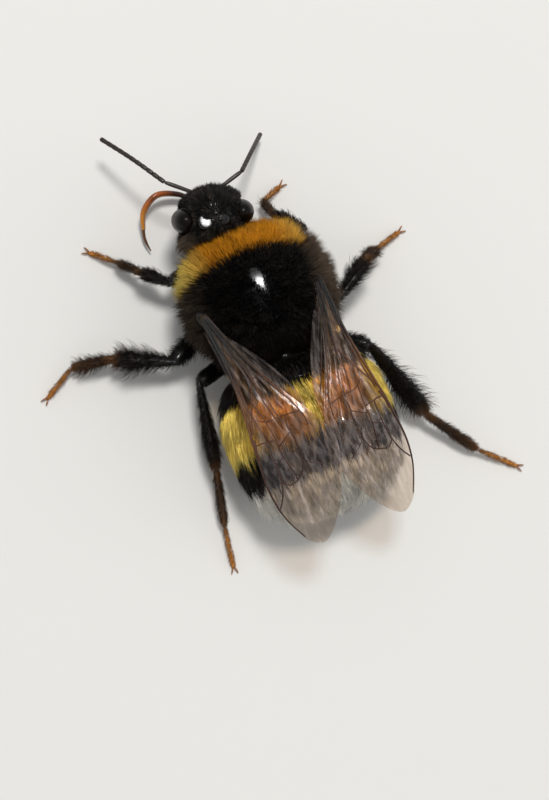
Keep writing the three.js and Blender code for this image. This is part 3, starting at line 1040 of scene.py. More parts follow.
def grow(
    rng, form, hull, per_mm2, marking, keep, lean, longest,
    reach=(0.7, 1.04), bow=0.16, thick=1.0, clumps=(40, 30), under=0.0, lock=(0.5, 0.0),
    stretch=None, stray=1.0,
):
    """Tufts on a form, out to its hull.

    per_mm2 is how many there are where keep is 1, and lean their angle from upright towards the
    form's end. longest is the most that a tuft may measure, and reach the range of shares of it that
    they grow to. bow is how far they bulge, thick a factor on their width, and clumps how many waves
    they fall in round and along the form. under is the share of short, straight tufts between the
    long ones, lock the size of the locks and how far tips are drawn into them, stretch a factor on
    the length by place, and stray how far tufts turn aside. reach and stretch can carry a tip past
    the hull.
    """
    t, a = scatter(form, per_mm2, keep, rng)
    roots = form.place(t, a)
    out, along = form.lie(t, a)
    beside = np.cross(out, along)
    around = a / (2 * pi)
    low = rng.random(len(t)) < under
    tilt = lean(t, a, roots) + 0.22 * wander(rng, around, t, *clumps) + rng.normal(0, 0.1, len(t))
    swirl = stray * (0.3 * wander(rng, around, t, *clumps) + rng.normal(0, 0.14, len(t)))
    flow = along * np.cos(swirl)[:, None] + beside * np.sin(swirl)[:, None]
    heading = unit(out * np.cos(tilt)[:, None] + flow * np.sin(tilt)[:, None])
    length = reach_to(hull, roots, heading, longest) * rng.uniform(*reach, len(t))
    length *= 1 + 0.1 * wander(rng, around, t, *clumps)
    length *= np.where(low, rng.uniform(0.5, 0.85, len(t)), 1.0)
    if stretch is not None:
        length *= stretch(t, a, roots)
    tips, tone = gathered(rng, form, t, around, roots + heading * length[:, None], *lock)
    bend = roots + (tips - roots) * 0.5 + out * (length * bow)[:, None]
    shade = 0.5 + 0.25 * wander(rng, around, t, *clumps) + 0.4 * lock[1] * tone + rng.normal(0, 0.15, len(t))
    return {
        "roots": roots,
        "bends": bend,
        "tips": tips,
        "thick": rng.uniform(0.75, 1.25, len(t)) * thick,
        "shade": held(shade),
        "marking": marking(t, roots + (tips - roots) * 0.6),
        "unwrap": np.stack([around, t], axis=1),
        "t": t,
        "a": a,
        "low": low,
    }


def picked(tufts, mask):
    return {key: value[mask] for key, value in tufts.items()}


def merged(*several):
    return {key: np.concatenate([tufts[key] for tufts in several]) for key in several[0]}


SHORTEST = 0.04  # no tuft is shorter than this
LOWEST = 0.02  # the hair of the legs stays above this height


def clear_of(tufts, *forms):
    """Drops the tufts that are rooted inside another form, and those too short to see."""
    free = np.linalg.norm(tufts["tips"] - tufts["roots"], axis=1) > SHORTEST
    for form in forms:
        free &= form.fill(tufts["roots"]) > 1
    return picked(tufts, free)


def pressed_by_wings(tufts):
    """Presses what would stick through a wing down to just under it."""
    for wing in wings():
        s, c = wing.find(tufts["roots"])
        covered = wing.covers(s, c) & (tufts["roots"][:, 2] < wing.height(s, c) - 0.02)
        for key in ("bends", "tips"):
            points = tufts[key]
            s, c = wing.find(points)
            limit = wing.height(s, c) + wing.folds(s, c) - 0.05
            over = (wing.covers(s, c) | covered) & (points[:, 2] > limit) & (s > 0.5)
            points[over, 2] = limit[over]
    return tufts


LONG = ((0.0, 1.0), (0.55, 0.8))  # a long tuft's rings below its tip: share of its length, and width
LOW = ((0.0, 1.0),)  # a short straight tuft has one ring, at its root
LOW_LIGHT = 0.7  # a short tuft's tip is coloured as a long one at this share of its length


def spikes(tufts, rings, top):
    """Three-sided closed spikes with these rings and a tip: points, faces, and values for each point."""
    count = len(tufts["roots"])
    width = tufts["thick"] * bpy.context.scene.bee_coat.width / MM / 2
    heading = unit(tufts["tips"] - tufts["roots"])
    first = unit(np.cross(heading, unit(tufts["unwrap"][:, [0, 1, 0]] * 7.1 % 1 - 0.5)))
    second = np.cross(heading, first)
    corners = []
    for centre, (_, size) in zip(("roots", "bends"), rings):
        for corner in range(3):
            angle = corner * 2 * pi / 3
            rim = first * cos(angle) + second * sin(angle)
            corners.append(tufts[centre] + rim * (width * size)[:, None])
    corners.append(tufts["tips"])
    spike = [(0, 2, 1)]
    for base in range(0, 3 * len(rings) - 3, 3):
        for corner in range(3):
            after = (corner + 1) % 3
            spike.append((base + corner, base + after, base + after + 3))
            spike.append((base + corner, base + after + 3, base + corner + 3))
    last = 3 * len(rings) - 3
    spike += [(last + corner, last + (corner + 1) % 3, last + 3) for corner in range(3)]
    size = len(corners)
    heights = np.array([height for height, _ in rings for _ in range(3)] + [1.0])
    spread = np.array([0, 0.5, 1] * len(rings) + [0.5])
    patch = np.stack([spread, heights], axis=1) * PATCH
    return {
        "points": np.stack(corners, axis=1).reshape(-1, 3),
        "faces": (np.array(spike)[None] + size * np.arange(count)[:, None, None]).reshape(-1, 3),
        "along": np.tile(heights * top, count),
        "shade": np.repeat(tufts["shade"], size),
        "marking": np.repeat(tufts["marking"], size, axis=0),
        "uv": (tufts["unwrap"][:, None] * (1 - PATCH) + patch[None]).reshape(-1, 2),
    }


def build_tufts(name, slot, material, tufts):
    """Builds tufts as pieces of at most MOST_FACES triangles, cut where the unwrap turns round."""
    order = np.argsort(tufts["unwrap"][:, 0], kind="stable")
    faces = np.cumsum(np.where(tufts["low"][order], 4, 10))
    pieces = -(-int(faces[-1]) // MOST_FACES)
    cuts = np.searchsorted(faces, faces[-1] * np.arange(1, pieces) / pieces)
    for index, part in enumerate(np.split(order, cuts)):
        label = name if pieces == 1 else f"{name}_{index + 1}"
        build_piece(label, slot, material, picked(tufts, part))


def build_piece(name, slot, material, tufts):
    """One mesh of bent long tufts and straight short ones, each closed at root and tip."""
    parts = [
        spikes(picked(tufts, ~tufts["low"]), LONG, 1.0),
        spikes(picked(tufts, tufts["low"]), LOW, LOW_LIGHT),
    ]
    parts[1]["faces"] = parts[1]["faces"] + len(parts[0]["points"])
    made = merged(*parts)
    points = made["points"] * MM + np.array(ORIGIN)
    faces = made["faces"]

    mesh = bpy.data.meshes.new(name)
    mesh.vertices.add(len(points))
    mesh.vertices.foreach_set("co", points.astype(np.float32).ravel())
    mesh.loops.add(faces.size)
    mesh.loops.foreach_set("vertex_index", faces.astype(np.int32).ravel())
    mesh.polygons.add(len(faces))
    mesh.polygons.foreach_set("loop_start", np.arange(0, faces.size, 3, dtype=np.int32))
    mesh.polygons.foreach_set("use_smooth", np.ones(len(faces), bool))
    mesh.update(calc_edges=True)

    obj = added(name, mesh)
    store(obj, "along", made["along"])
    store(obj, "shade", made["shade"])
    paint(obj, made["marking"])
    corners = made["uv"][faces.ravel()].astype(np.float32)
    mesh.uv_layers.new(name="OFBake").data.foreach_set("uv", corners.ravel())
    return enter(obj, name, slot, material)


# ------------------------------------------------------------------ wings
# Each wing's length and its two edges, by points along the span and across it.
FOREWING = {
    "length": 15.22,
    "lead": [
        (0, 0.25), (3.5, 0.2), (5.2, 0.38), (8.2, 0.86), (10.9, 1.15),
        (13, 0.92), (14.4, 0.42), (15.0, -0.1), (15.22, -0.5),
    ],
    "trail": [
        (0, -0.25), (3, -1), (5.5, -1.9), (7.6, -2.85), (9.7, -3.65),
        (11.4, -3.3), (13.2, -2.5), (14.5, -1.55), (15.05, -0.95), (15.22, -0.52),
    ],
}
HINDWING = {
    "length": 10.4,
    "lead": [(0, 0.25), (3, 0.45), (6, 0.5), (9, 0.3), (10.1, -0.2), (10.4, -0.72)],
    "trail": [(0, -0.25), (2.2, -1.4), (4.5, -2.3), (6.5, -2.6), (8.5, -2.3), (9.8, -1.6), (10.4, -0.76)],
}
# Where the wings of each side are hinged, which way they point in degrees, and how they tilt.
WING_PAIRS = {
    "left": {"sign": 1, "root": (4.05, 0.9), "heading": 6.6, "tilt": 0.24, "lift": 0.2},
    "right": {"sign": -1, "root": (-3.3, 0.7), "heading": -2.5, "tilt": 0.1, "lift": 0.0},
}
CREST = {"height": 8.1, "at": 6.0, "drop": 0.0208}  # a wing rises over the abdomen, then falls
HIND = {"below": 0.2, "behind": 0.9, "inward": 4.0}  # against the fore wing, and inward in degrees

# Veins by their points along the span and across it, with their radius at the start and the end.
FORE_VEINS = [
    ([(0.2, 0.1), (2.0, 0.12), (3.6, 0.12), (5.3, 0.3), (7.2, 0.6), (8.3, 0.8), (9.3, 0.93)], 0.118, 0.093),
    ([(9.3, 0.93), (10.9, 1.12), (12.2, 1.06), (13.2, 0.84), (14.4, 0.36)], 0.085, 0.045),
    ([(0.3, 0.0), (2.5, -0.02), (4.5, 0.02), (6.2, 0.22), (7.7, 0.55)], 0.098, 0.078),
    ([(8.0, 0.62), (8.6, 0.8), (9.2, 0.86)], 0.118, 0.098),
    ([(0.3, -0.1), (2.5, -0.45), (4.7, -0.82), (6.2, -0.85), (7.42, -1.0)], 0.093, 0.063),
    ([(4.75, -0.82), (5.6, -0.4), (6.9, 0.22), (7.5, 0.5)], 0.068, 0.063),
    ([(5.9, -0.24), (7.1, -0.42), (8.45, -0.52), (9.6, -0.49), (10.5, -0.6), (11.2, -0.69)], 0.063, 0.053),
    (
        [(8.35, 0.72), (8.39, 0.21), (8.6, 0.1), (9.45, 0.08), (10.6, 0.2), (11.6, 0.5), (12.3, 0.96)],
        0.063, 0.053,
    ),
    ([(8.39, 0.21), (8.47, -0.15), (8.55, -0.5)], 0.048, 0.048),
    ([(9.5, 0.09), (9.72, -0.2), (9.6, -0.49)], 0.048, 0.048),
    ([(10.6, 0.2), (10.95, 0.22), (11.3, -0.16), (11.2, -0.69)], 0.058, 0.048),
    ([(9.0, -0.5), (8.75, -0.95), (8.5, -1.42)], 0.053, 0.048),
    ([(11.2, -0.69), (10.98, -1.0), (10.7, -1.22), (10.1, -1.4)], 0.058, 0.048),
    (
        [
            (7.42, -1.0), (7.48, -1.55), (8.2, -1.45), (9.15, -1.52),
            (10.1, -1.4), (10.6, -1.75), (11.1, -2.45),
        ],
        0.063, 0.038,
    ),
    ([(0.3, -0.18), (3, -0.85), (5.2, -1.6), (6.9, -2.25), (7.8, -2.5), (8.6, -2.55)], 0.078, 0.048),
    ([(4.7, -0.82), (4.75, -1.15), (4.6, -1.4)], 0.053, 0.048),
    ([(7.48, -1.55), (7.55, -2.05), (7.65, -2.48)], 0.053, 0.048),
]
HIND_VEINS = [
    ([(0.2, 0.12), (3, 0.32), (6, 0.38), (7.6, 0.32)], 0.088, 0.058),
    ([(0.3, -0.05), (2.5, -0.3), (4.6, -0.8), (6.6, -0.9), (8.4, -1.2)], 0.073, 0.038),
    ([(0.3, -0.15), (2.2, -0.8), (4.2, -1.5), (6.0, -2.2)], 0.068, 0.038),
    ([(4.6, -0.8), (4.9, -1.3), (4.7, -1.7)], 0.048, 0.048),
    ([(6.0, 0.38), (6.5, -0.2), (6.6, -0.9)], 0.048, 0.048),
]
VEIN = 0.82  # share of those radii that the veins are drawn with
WING_FOLDS = ((8, 4, 1.0), (19, 12, 0.5))  # columns across, rows along, and share of the pleats' depth


class Wing:
    """One wing laid over the back, with places on it in millimetres along its span and its chord."""

    def __init__(self, side, kind):
        pair = WING_PAIRS[side]
        shape = FOREWING if kind == "fore" else HINDWING
        hind = kind == "hind"
        self.sign = pair["sign"]
        self.tilt = pair["tilt"]
        self.behind = HIND["behind"] if hind else 0.0
        self.rest = CREST["height"] + pair["lift"] - (HIND["below"] if hind else 0.0)
        self.root = np.array(pair["root"], float) + (0, self.behind)
        turn = radians(pair["heading"] + (HIND["inward"] if hind else 0.0))
        self.span = np.array([-self.sign * sin(turn), cos(turn)])
        self.chord = np.array([self.sign * cos(turn), sin(turn)])
        self.length = shape["length"]
        self.edges = [smooth_path([(*p, 0) for p in shape[key]], 160) for key in ("trail", "lead")]
        rng = np.random.default_rng(11 if self.sign > 0 else 12)
        self.grids = [(rng.integers(1 << 30), columns, rows, depth) for columns, rows, depth in WING_FOLDS]

    def edge(self, which, s):
        path = self.edges[which]
        return np.interp(s, path[:, 0], path[:, 1])

    def covers(self, s, c):
        inside = (s > 0) & (s < self.length)
        return inside & (c > self.edge(0, s)) & (c < self.edge(1, s))

    def find(self, points):
        """Distances along the span and the chord of points under or over the wing."""
        rel = points[:, :2] - self.root
        return rel @ self.span, rel @ self.chord

    def height(self, s, c):
        fall = CREST["drop"] * (s + self.behind - CREST["at"]) ** 2
        return self.rest - fall - self.tilt * c * held(s / 5)

    def folds(self, s, c):
        """Pleats that fan out from the root, and finer creases across them."""
        low = self.edge(0, s)
        wide = np.maximum(self.edge(1, s) - low, 0.3)
        share = (c - low) / wide
        total = 0.0 * s
        for seed, columns, rows, depth in self.grids:
            rng = np.random.default_rng(seed)
            total = total + depth * wander(rng, share * 0.9, s / 16, columns, rows)
        deep = bpy.context.scene.bee_wings.pleat / MM
        return deep * total * held(wide / 3) ** 1.5

    def lay(self, s, c, up=0.0):
        flat = self.root + s[:, None] * self.span + c[:, None] * self.chord
        return np.column_stack([flat, self.height(s, c) + self.folds(s, c) + up])


def wings():
    return [Wing(side, kind) for side in SIDES for kind in ("fore", "hind")]


def film_of(wing, name):
    """A wing's film: a grid shaped to its outline, laid over the back and given its thickness."""
    clear_selection()
    bpy.ops.mesh.primitive_grid_add(x_subdivisions=56, y_subdivisions=110, size=1, location=(0, 0, 0))
    obj = bpy.context.object
    flat = places(obj)
    s = wing.length * np.sin((flat[:, 1] + 0.5) * pi / 2)
    c = mix(wing.edge(0, s), wing.edge(1, s), flat[:, 0] + 0.5)
    move_to(obj, wing.lay(s, c))
    store(obj, "span", s)
    store(obj, "chord", c)
    solid = obj.modifiers.new("Film", "SOLIDIFY")
    solid.thickness = bpy.context.scene.bee_wings.film / MM
    solid.offset = 0
    apply_all(obj)
    bpy.ops.object.shade_smooth()
    obj.name = name
    return obj


def veins_of(wing, routes):
    """The raised veins of a wing, each a tapering cord on the film."""
    made = []
    for points, start, end in routes:
        flat = smooth_path([(*p, 0) for p in points], 5 * len(points))
        route = wing.lay(flat[:, 0], flat[:, 1])
        made.append(tube("vein", route, (start * VEIN, end * VEIN), sides=1))
    return joined(*made)


# ------------------------------------------------------------------ pieces, one operator each
NECK = limb_form(in_head(0, 0.4, 0.3), (0.35, -2.0, 4.9), (1, 0, 0), 2.2, 2.4, 1, 3)
WAIST = limb_form((0.05, 3.2, 5.0), (0.0, 6.2, 4.8), (1, 0, 0), 3.2, 2.8, 1, 3)
CLYPEUS = Form(
    in_head(0, -0.94, -2.3),
    in_head(0, -1.12, -0.7),
    HEAD_LEFT,
    lambda t: 0.95 * oval(2.6)(t) * mix(1, 0.72, t),
    lambda t: 0.46 * oval(2.0)(t),
)
# The smooth places by the small eyes: which way each faces, and the middle of its top.
CROWN_FACES = {1: (0.003, -0.066, 1.0), -1: (-0.03, 0.13, 1.0)}
CROWN_TOPS = {1: (0.64, 0.06, 2.35), -1: (-0.46, 0.1, 2.37)}
CROWN_REACH = 1.3  # how deep each is set, so that it grows out of the head


def crown_form(sign):
    """The smooth, nearly flat swelling between a compound eye and the small eyes."""
    top = np.array(in_head(*CROWN_TOPS[sign]))
    full = oval(8 if sign > 0 else 3.5)
    return Form(
        top - unit(np.array(CROWN_FACES[sign])) * CROWN_REACH,
        top,
        HEAD_LEFT,
        lambda t: 0.5 * full(t),
        lambda t: 0.58 * full(t),
    )


def on_crown(left, back):
    """The point of the head's skin above a place given from the middle of the head."""
    low, high = 0.0, HEAD["height"] / 2
    for _ in range(30):
        middle = (low + high) / 2
        inside = HEAD_SKIN.fill(np.array([in_head(left, back, middle)]))[0] < 1
        low, high = (middle, high) if inside else (low, middle)
    return np.array(in_head(left, back, low))


CROWN = (crown_form(1), crown_form(-1))
OCELLUS = 0.16  # radius of a small eye
OCELLI_PLACES = [on_crown(*place) for place in ((-0.03, -0.28), (0.2, 0.12), (-0.26, 0.12))]


class BEE_OT_skin(bpy.types.Operator):
    """Head, thorax and abdomen as one skin under the coat"""

    bl_idname = "bee.skin"
    bl_label = "Body Skin"

    def execute(self, context):
        thorax = drawn_out("thorax_skin", THORAX_SKIN, 30, 48)
        abdomen = drawn_out("abdomen_skin", ABDOMEN_SKIN, 38, 56, *RING_ENDS[1:-1])
        head = drawn_out("head_skin", HEAD_SKIN, 28, 44)
        parts = [drawn_out("part", form, 12, 28) for form in (NECK, WAIST, CLYPEUS)]
        parts += [drawn_out("crown", form, 36, 32) for form in CROWN]
        skin = fused(thorax, abdomen, head, *parts)
        paint(skin, body_marking(places(skin)))
        rings = [f"abdomen_ring_{n + 1}" for n in range(len(RING_ENDS) - 1)]
        shell = shell_finish("body_shell")
        settle(skin, "body_skin", "coat_black", shell, "head", "collar", "thorax", *rings)
        return {"FINISHED"}


class BEE_OT_eyes(bpy.types.Operator):
    """Two compound eyes with fine facets, and the three small eyes on the crown"""

    bl_idname = "bee.eyes"
    bl_label = "Eyes"

    def execute(self, context):
        facets = eye_finish()
        for side, sign in SIDES.items():
            eye = drawn_out("eye", eye_form(sign), 26, 36)
            settle(eye, f"compound_eye_{side}", "eye", facets, f"eye_{side}")
        beads = []
        lift = np.array([0, 0, OCELLUS])
        for place in OCELLI_PLACES:
            form = limb_form(place - lift, place + lift, HEAD_LEFT, OCELLUS * 2, OCELLUS * 2, 1, 2)
            beads.append(drawn_out("ocellus", form, 11, 20))
        bead = joined(*beads)
        paint(bead, np.array(linear("140c08")))
        settle(bead, "ocelli", "eye", shell_finish("ocellus_shell"))
        return {"FINISHED"}


class BEE_OT_jaws(bpy.types.Operator):
    """The two mandibles, crossed at their tips, and the upper lip between them"""

    bl_idname = "bee.jaws"
    bl_label = "Jaws"

    def execute(self, context):
        shell = shell_finish("jaw_shell")
        for side, sign in SIDES.items():
            start = np.array(in_head(sign * 1.3, -0.75, -1.7))
            end = np.array(in_head(sign * -0.1, -1.0 - 0.06 * sign, -3.05))
            form = limb_form(start, end, HEAD_LEFT, 0.78, 0.42, 1, 3)
            form.lift = lambda t: 0.28 * np.sin(pi * t)
            jaw = drawn_out("jaw", form, 16, 22)
            share = held((places(jaw) - start) @ form.axis / form.length)[:, None]
            paint(jaw, mix(colour("black"), colour("amber") * 0.35, share**2))
            settle(jaw, f"jaw_{side}", "jaw", shell, f"mandible_{side}")
        form = limb_form(in_head(0, -1.14, -2.0), in_head(0, -1.08, -2.56), HEAD_LEFT, 0.8, 0.28, 1, 2)
        lip = drawn_out("lip", form, 12, 24)
        paint(lip, mix(colour("black"), colour("umber"), 0.4))
        settle(lip, "upper_lip", "jaw", shell)
        return {"FINISHED"}


FEELERS = {
    "left": {
        "socket": (1.28, -6.45, 4.5), "elbow": (3.01, -7.84, 4.6), "tip": (5.58, -11.94, 3.0), "sag": 0.35,
    },
    "right": {
        "socket": (0.12, -6.35, 4.5), "elbow": (-1.7, -6.94, 4.5), "tip": (-4.19, -9.38, 1.0), "sag": 0.3,
    },
}
FEELER_JOINTS = 11  # short joints beyond the long first one
FEELER_WIDE = 0.3
SCAPE_WIDE = 0.27
BEAD_WIDE = 0.42


def feeler_path(plan, count):
    """Points along the outer length of a feeler, arched over its middle."""
    elbow = np.array(plan["elbow"], float)
    tip = np.array(plan["tip"], float)
    middle = (elbow + tip) / 2 + np.array([0, 0, plan["sag"]])
    return smooth_path([elbow, middle, tip], count)


class BEE_OT_feelers(bpy.types.Operator):
    """Each antenna: a long first joint with a bead at its foot, and short joints that are copies of one"""

    bl_idname = "bee.feelers"
    bl_label = "Antennae"

    def execute(self, context):
        shell = shell_finish("feeler_shell")
        unit_form = limb_form((0, 0, 0), (0, 0, 1), (1, 0, 0), FEELER_WIDE, FEELER_WIDE, 0.93, 6)
        pattern = drawn_out("feeler_joint", unit_form, 9, 16)
        for side, plan in FEELERS.items():
            socket = np.array(plan["socket"], float)
            elbow = np.array(plan["elbow"], float)
            onward = unit(elbow - socket)
            inside = socket - onward * 0.25
            scape = limb_form(inside, elbow, UP, SCAPE_WIDE, SCAPE_WIDE, 0.75, 5)
            foot = (inside - onward * 0.1, inside + onward * 0.32)
            base = limb_form(*foot, UP, BEAD_WIDE, BEAD_WIDE, 1, 3)
            parts = [
                drawn_out("scape", scape, 14, 16),
                drawn_out("socket", base, 8, 16),
            ]
            path = feeler_path(plan, FEELER_JOINTS + 1)
            for start, end in zip(path[:-1], path[1:]):
                joint = added("joint", pattern.data.copy())
                form = limb_form(start, end, UP, 1, 1)
                joint.matrix_world = form.matrix() @ Matrix.Diagonal((1, 1, form.length * 1.03, 1))
                choose(joint)
                bpy.ops.object.transform_apply(location=True, rotation=True, scale=True)
                parts.append(joint)
            feeler = joined(*parts)
            paint(feeler, mix(colour("black"), colour("brown"), 0.25))
            settle(feeler, f"antenna_{side}", "feeler", shell, f"scape_{side}", f"flagellum_{side}")
        bpy.data.objects.remove(pattern)
        return {"FINISHED"}


# Points along the sheath's two blades, along their root, and along the thin tip in them.
TONGUE_SHEATH = [
    (1.08, -6.25, 1.03), (1.4, -6.9, 0.87), (2.1, -7.5, 1.0),
    (3.4, -7.8, 1.35), (4.5, -7.1, 1.2), (4.85, -6.1, 0.8),
]
TONGUE_ROOT = [(0.86, -5.3, 2.3), (0.92, -5.58, 1.8), (1.06, -6.2, 1.06), (1.35, -6.8, 0.88)]
TONGUE_TIP = [(4.6, -6.9, 1.1), (4.9, -5.95, 0.74), (4.95, -5.4, 0.6), (4.85, -4.75, 0.45)]
SHEATH_RADII = (0.15, 0.16, 0.18, 0.17, 0.09)
ROOT_RADII = (0.26, 0.25, 0.22, 0.12)
TIP_RADII = (0.09, 0.1, 0.09, 0.04)
TONGUE_RED = (0.8, 0.5, 0.25)  # the bend of the sheath against plain amber


class BEE_OT_tongue(bpy.types.Operator):
    """The tongue, swung out to the left: two sheath blades side by side and the thin tip in them"""

    bl_idname = "bee.tongue"
    bl_label = "Tongue"

    def execute(self, context):
        shell = shell_finish("tongue_shell")
        offset = np.array([0.04, 0.0, 0.13])
        route = np.array(TONGUE_SHEATH)
        blades = [tube("blade", route + offset * sign, SHEATH_RADII) for sign in (1, -1)]
        root = tube("root", TONGUE_ROOT, ROOT_RADII, sides=4)
        sheath = joined(*blades, root)
        place = places(sheath)
        bared = held((place[:, 0] - 2.3) / 0.9)[:, None]
        end = (held((place[:, 1] + 7.5) / 0.7) * (place[:, 0] > 3.9))[:, None]
        pale = mix(colour("amber"), colour("gold"), 0.5)
        paint(sheath, mix(mix(colour("umber") * 0.6, colour("amber") * TONGUE_RED, bared), pale, end))
        settle(sheath, "tongue_blades", "tongue", shell, "tongue_sheath")
        tip = tube("tip", TONGUE_TIP, TIP_RADII)
        paint(tip, colour("amber") * 0.25)
        settle(tip, "tongue_brush", "tongue", shell, "tongue_tip")
        return {"FINISHED"}


TARSUS_ENDS = (0.0, 0.2, 0.38, 0.55, 1.0)  # four short joints of a foot
# The short joint between hip and thigh: how far it reaches back and on, its breadth and its depth.
TROCHANTER = {"back": 0.3, "on": 0.28, "wide": 0.62, "deep": 0.58}


def leg_lengths(leg):
    """Every length of one leg's shell, from the hip to the last joint of the foot."""
    joints = LEG_JOINTS[leg]
    forms = [leg_form(leg, part, LEG_SHELL) for part in LEG_PARTS[:4]]
    hip = unit(joints[1] - joints[0])
    start = joints[1] - hip * TROCHANTER["back"]
    end = joints[1] + hip * TROCHANTER["on"]
    forms.append(limb_form(start, end, LEG_FACE[leg], TROCHANTER["wide"], TROCHANTER["deep"], 1, 2.5))
    wide, deep = LEG_SHELL[leg.split("_")[1]][-1]
    for start, end in zip(TARSUS_ENDS[:-1], TARSUS_ENDS[1:]):
        low = mix(joints[4], joints[5], max(0, start - 0.04))
        high = mix(joints[4], joints[5], end)
        forms.append(limb_form(low, high, FOOT_FACE, wide, deep, 0.55, 3))
    return forms


def leg_place(leg, points):
    """How far out along a leg each point lies: 0 at the hip, 1 at the first joint, and so on to 5."""
    joints = LEG_JOINTS[leg]
    best = np.full(len(points), np.inf)
    found = np.zeros(len(points))
    for index, (start, end) in enumerate(zip(joints[:-1], joints[1:])):
        axis = end - start
        share = held((points - start) @ axis / (axis @ axis))
        distance = np.linalg.norm(points - start - share[:, None] * axis, axis=1)
        nearer = distance < best
        best = np.where(nearer, distance, best)
        found = np.where(nearer, index + share, found)
    return found


def leg_marking(leg, points):
    """Black to the shin, with a pale ring at the ankle, then brown to an amber foot."""
    at = leg_place(leg, points)
    stops = (0, 1.9, 2.85, 2.97, 3.06, 3.25, 3.8, 4.0, 4.3, 5)
    share = np.interp(at, stops, (0, 0, 0.01, 0.2, 0.2, 0.06, 0.12, 0.3, 0.8, 0.95))
    foot = mix(colour("amber"), colour("gold"), 0.4)
    return mix(colour("black"), foot, share[:, None])


LEG_ROUNDS = ((18, 19), (18, 22), (17, 20))  # corners round the lengths of a leg, in turn


def fused_leg(leg):
    """One leg fused from its lengths, with other corners if the first ones don't close."""
    for rounds in LEG_ROUNDS:
        lengths = [
            drawn_out("length", form, 13, rounds[number % 2])
            for number, form in enumerate(leg_lengths(leg))
        ]
        made = fused(*lengths)
        if is_closed(made.data):
            return made
        bpy.data.objects.remove(made)
    raise RuntimeError(f"the lengths of the {leg} leg don't close into one solid")


class BEE_OT_legs(bpy.types.Operator):
    """Six legs, each fused from its lengths, waisted at every joint"""

    bl_idname = "bee.legs"
    bl_label = "Legs"

    def execute(self, context):
        shell = shell_finish("leg_shell")
        for leg in LEG_JOINTS:
            made = fused_leg(leg)
            paint(made, leg_marking(leg, places(made)))
            nodes = [f"{part}_{leg}" for part in LEG_PARTS]
            settle(made, f"leg_{leg}", "leg", shell, *nodes)
        return {"FINISHED"}


CLAW = ((-0.08, 0.03, 0.02), (0.12, 0.12, 0.1), (0.3, 0.19, 0.06), (0.38, 0.21, -0.06))  # ahead, aside, up
CLAW_RADII = (0.06, 0.055, 0.035, 0.008)
SPUR_RADII = (0.04, 0.03, 0.006)


class BEE_OT_claws(bpy.types.Operator):
    """Two curved claws on each foot, and the spurs at the shin's end"""

    bl_idname = "bee.claws"
    bl_label = "Claws and Spurs"

    def execute(self, context):
        shell = shell_finish("claw_shell")
        for leg, joints in LEG_JOINTS.items():
            foot = joints[5]
            ahead = unit((foot - joints[4]) * (1, 1, 0))
            aside = np.cross(UP, ahead)
            parts = []
            for sign in SIDES.values():
                route = [foot + ahead * f + aside * sign * s + UP * u for f, s, u in CLAW]
                parts.append(tube("claw", route, CLAW_RADII))
            ankle = joints[3]
            onward = unit(joints[4] - ankle)
            drop = unit(np.cross(onward, np.cross(UP, onward)))
            for sign in SIDES.values():
                start = ankle - onward * 0.1 - drop * 0.16 + aside * sign * 0.1
                end = start + onward * 0.5 - drop * 0.14 + aside * sign * 0.08
                route = [start, mix(start, end, 0.5) - drop * 0.02, end]
                parts.append(tube("spur", route, SPUR_RADII))
            claws = joined(*parts)
            paint(claws, mix(colour("amber"), colour("black"), 0.35))
            settle(claws, f"claws_{leg}", "foot", shell)
        return {"FINISHED"}


class BEE_OT_wings(bpy.types.Operator):
    """Four wings of thin film laid back over the abdomen"""

    bl_idname = "bee.wings"
    bl_label = "Wings"

    def execute(self, context):
        film = film_finish()
        for side in SIDES:
            for kind in ("fore", "hind"):
                made = film_of(Wing(side, kind), f"film_{kind}_{side}")
                settle(made, f"film_{kind}_{side}", "wing", film, f"{kind}wing_{side}")
        return {"FINISHED"}


# The shield over a wing's root: its ends from the root's middle, its breadth and its depth.
SHIELD = {"start": (0, -0.5, -0.55), "end": (0, 0.4, -0.35), "wide": 0.6, "deep": 0.42}


class BEE_OT_veins(bpy.types.Operator):
    """The veins of the wings, and the small shield over each wing root"""

    bl_idname = "bee.veins"
    bl_label = "Wing Veins"

    def execute(self, context):
        shell = shell_finish("vein_shell")
        for side in SIDES:
            for kind, routes in (("fore", FORE_VEINS), ("hind", HIND_VEINS)):
                wing = Wing(side, kind)
                veins = veins_of(wing, routes)
                s, _ = wing.find(places(veins))
                light = np.interp(s, (4, 6, 7.5, 9.5), (0, 1, 1, 0))[:, None]
                dark = held((s - 2.5) / 3)[:, None]
                brown = mix(colour("umber"), colour("amber") * 0.5, 0.5 * light)
                paint(veins, mix(colour("black"), brown, dark))
                settle(veins, f"veins_{kind}_{side}", "wing", shell)
            wing = Wing(side, "fore")
            top = wing.lay(np.array([0.2]), np.array([0.0]))[0]
            ends = (top + SHIELD["start"], top + SHIELD["end"])
            form = limb_form(*ends, (1, 0, 0), SHIELD["wide"], SHIELD["deep"], 1, 2.4)
            shield = drawn_out("shield", form, 14, 22)
            paint(shield, colour("black"))
            settle(shield, f"wing_shield_{side}", "wing", shell)
        return {"FINISHED"}


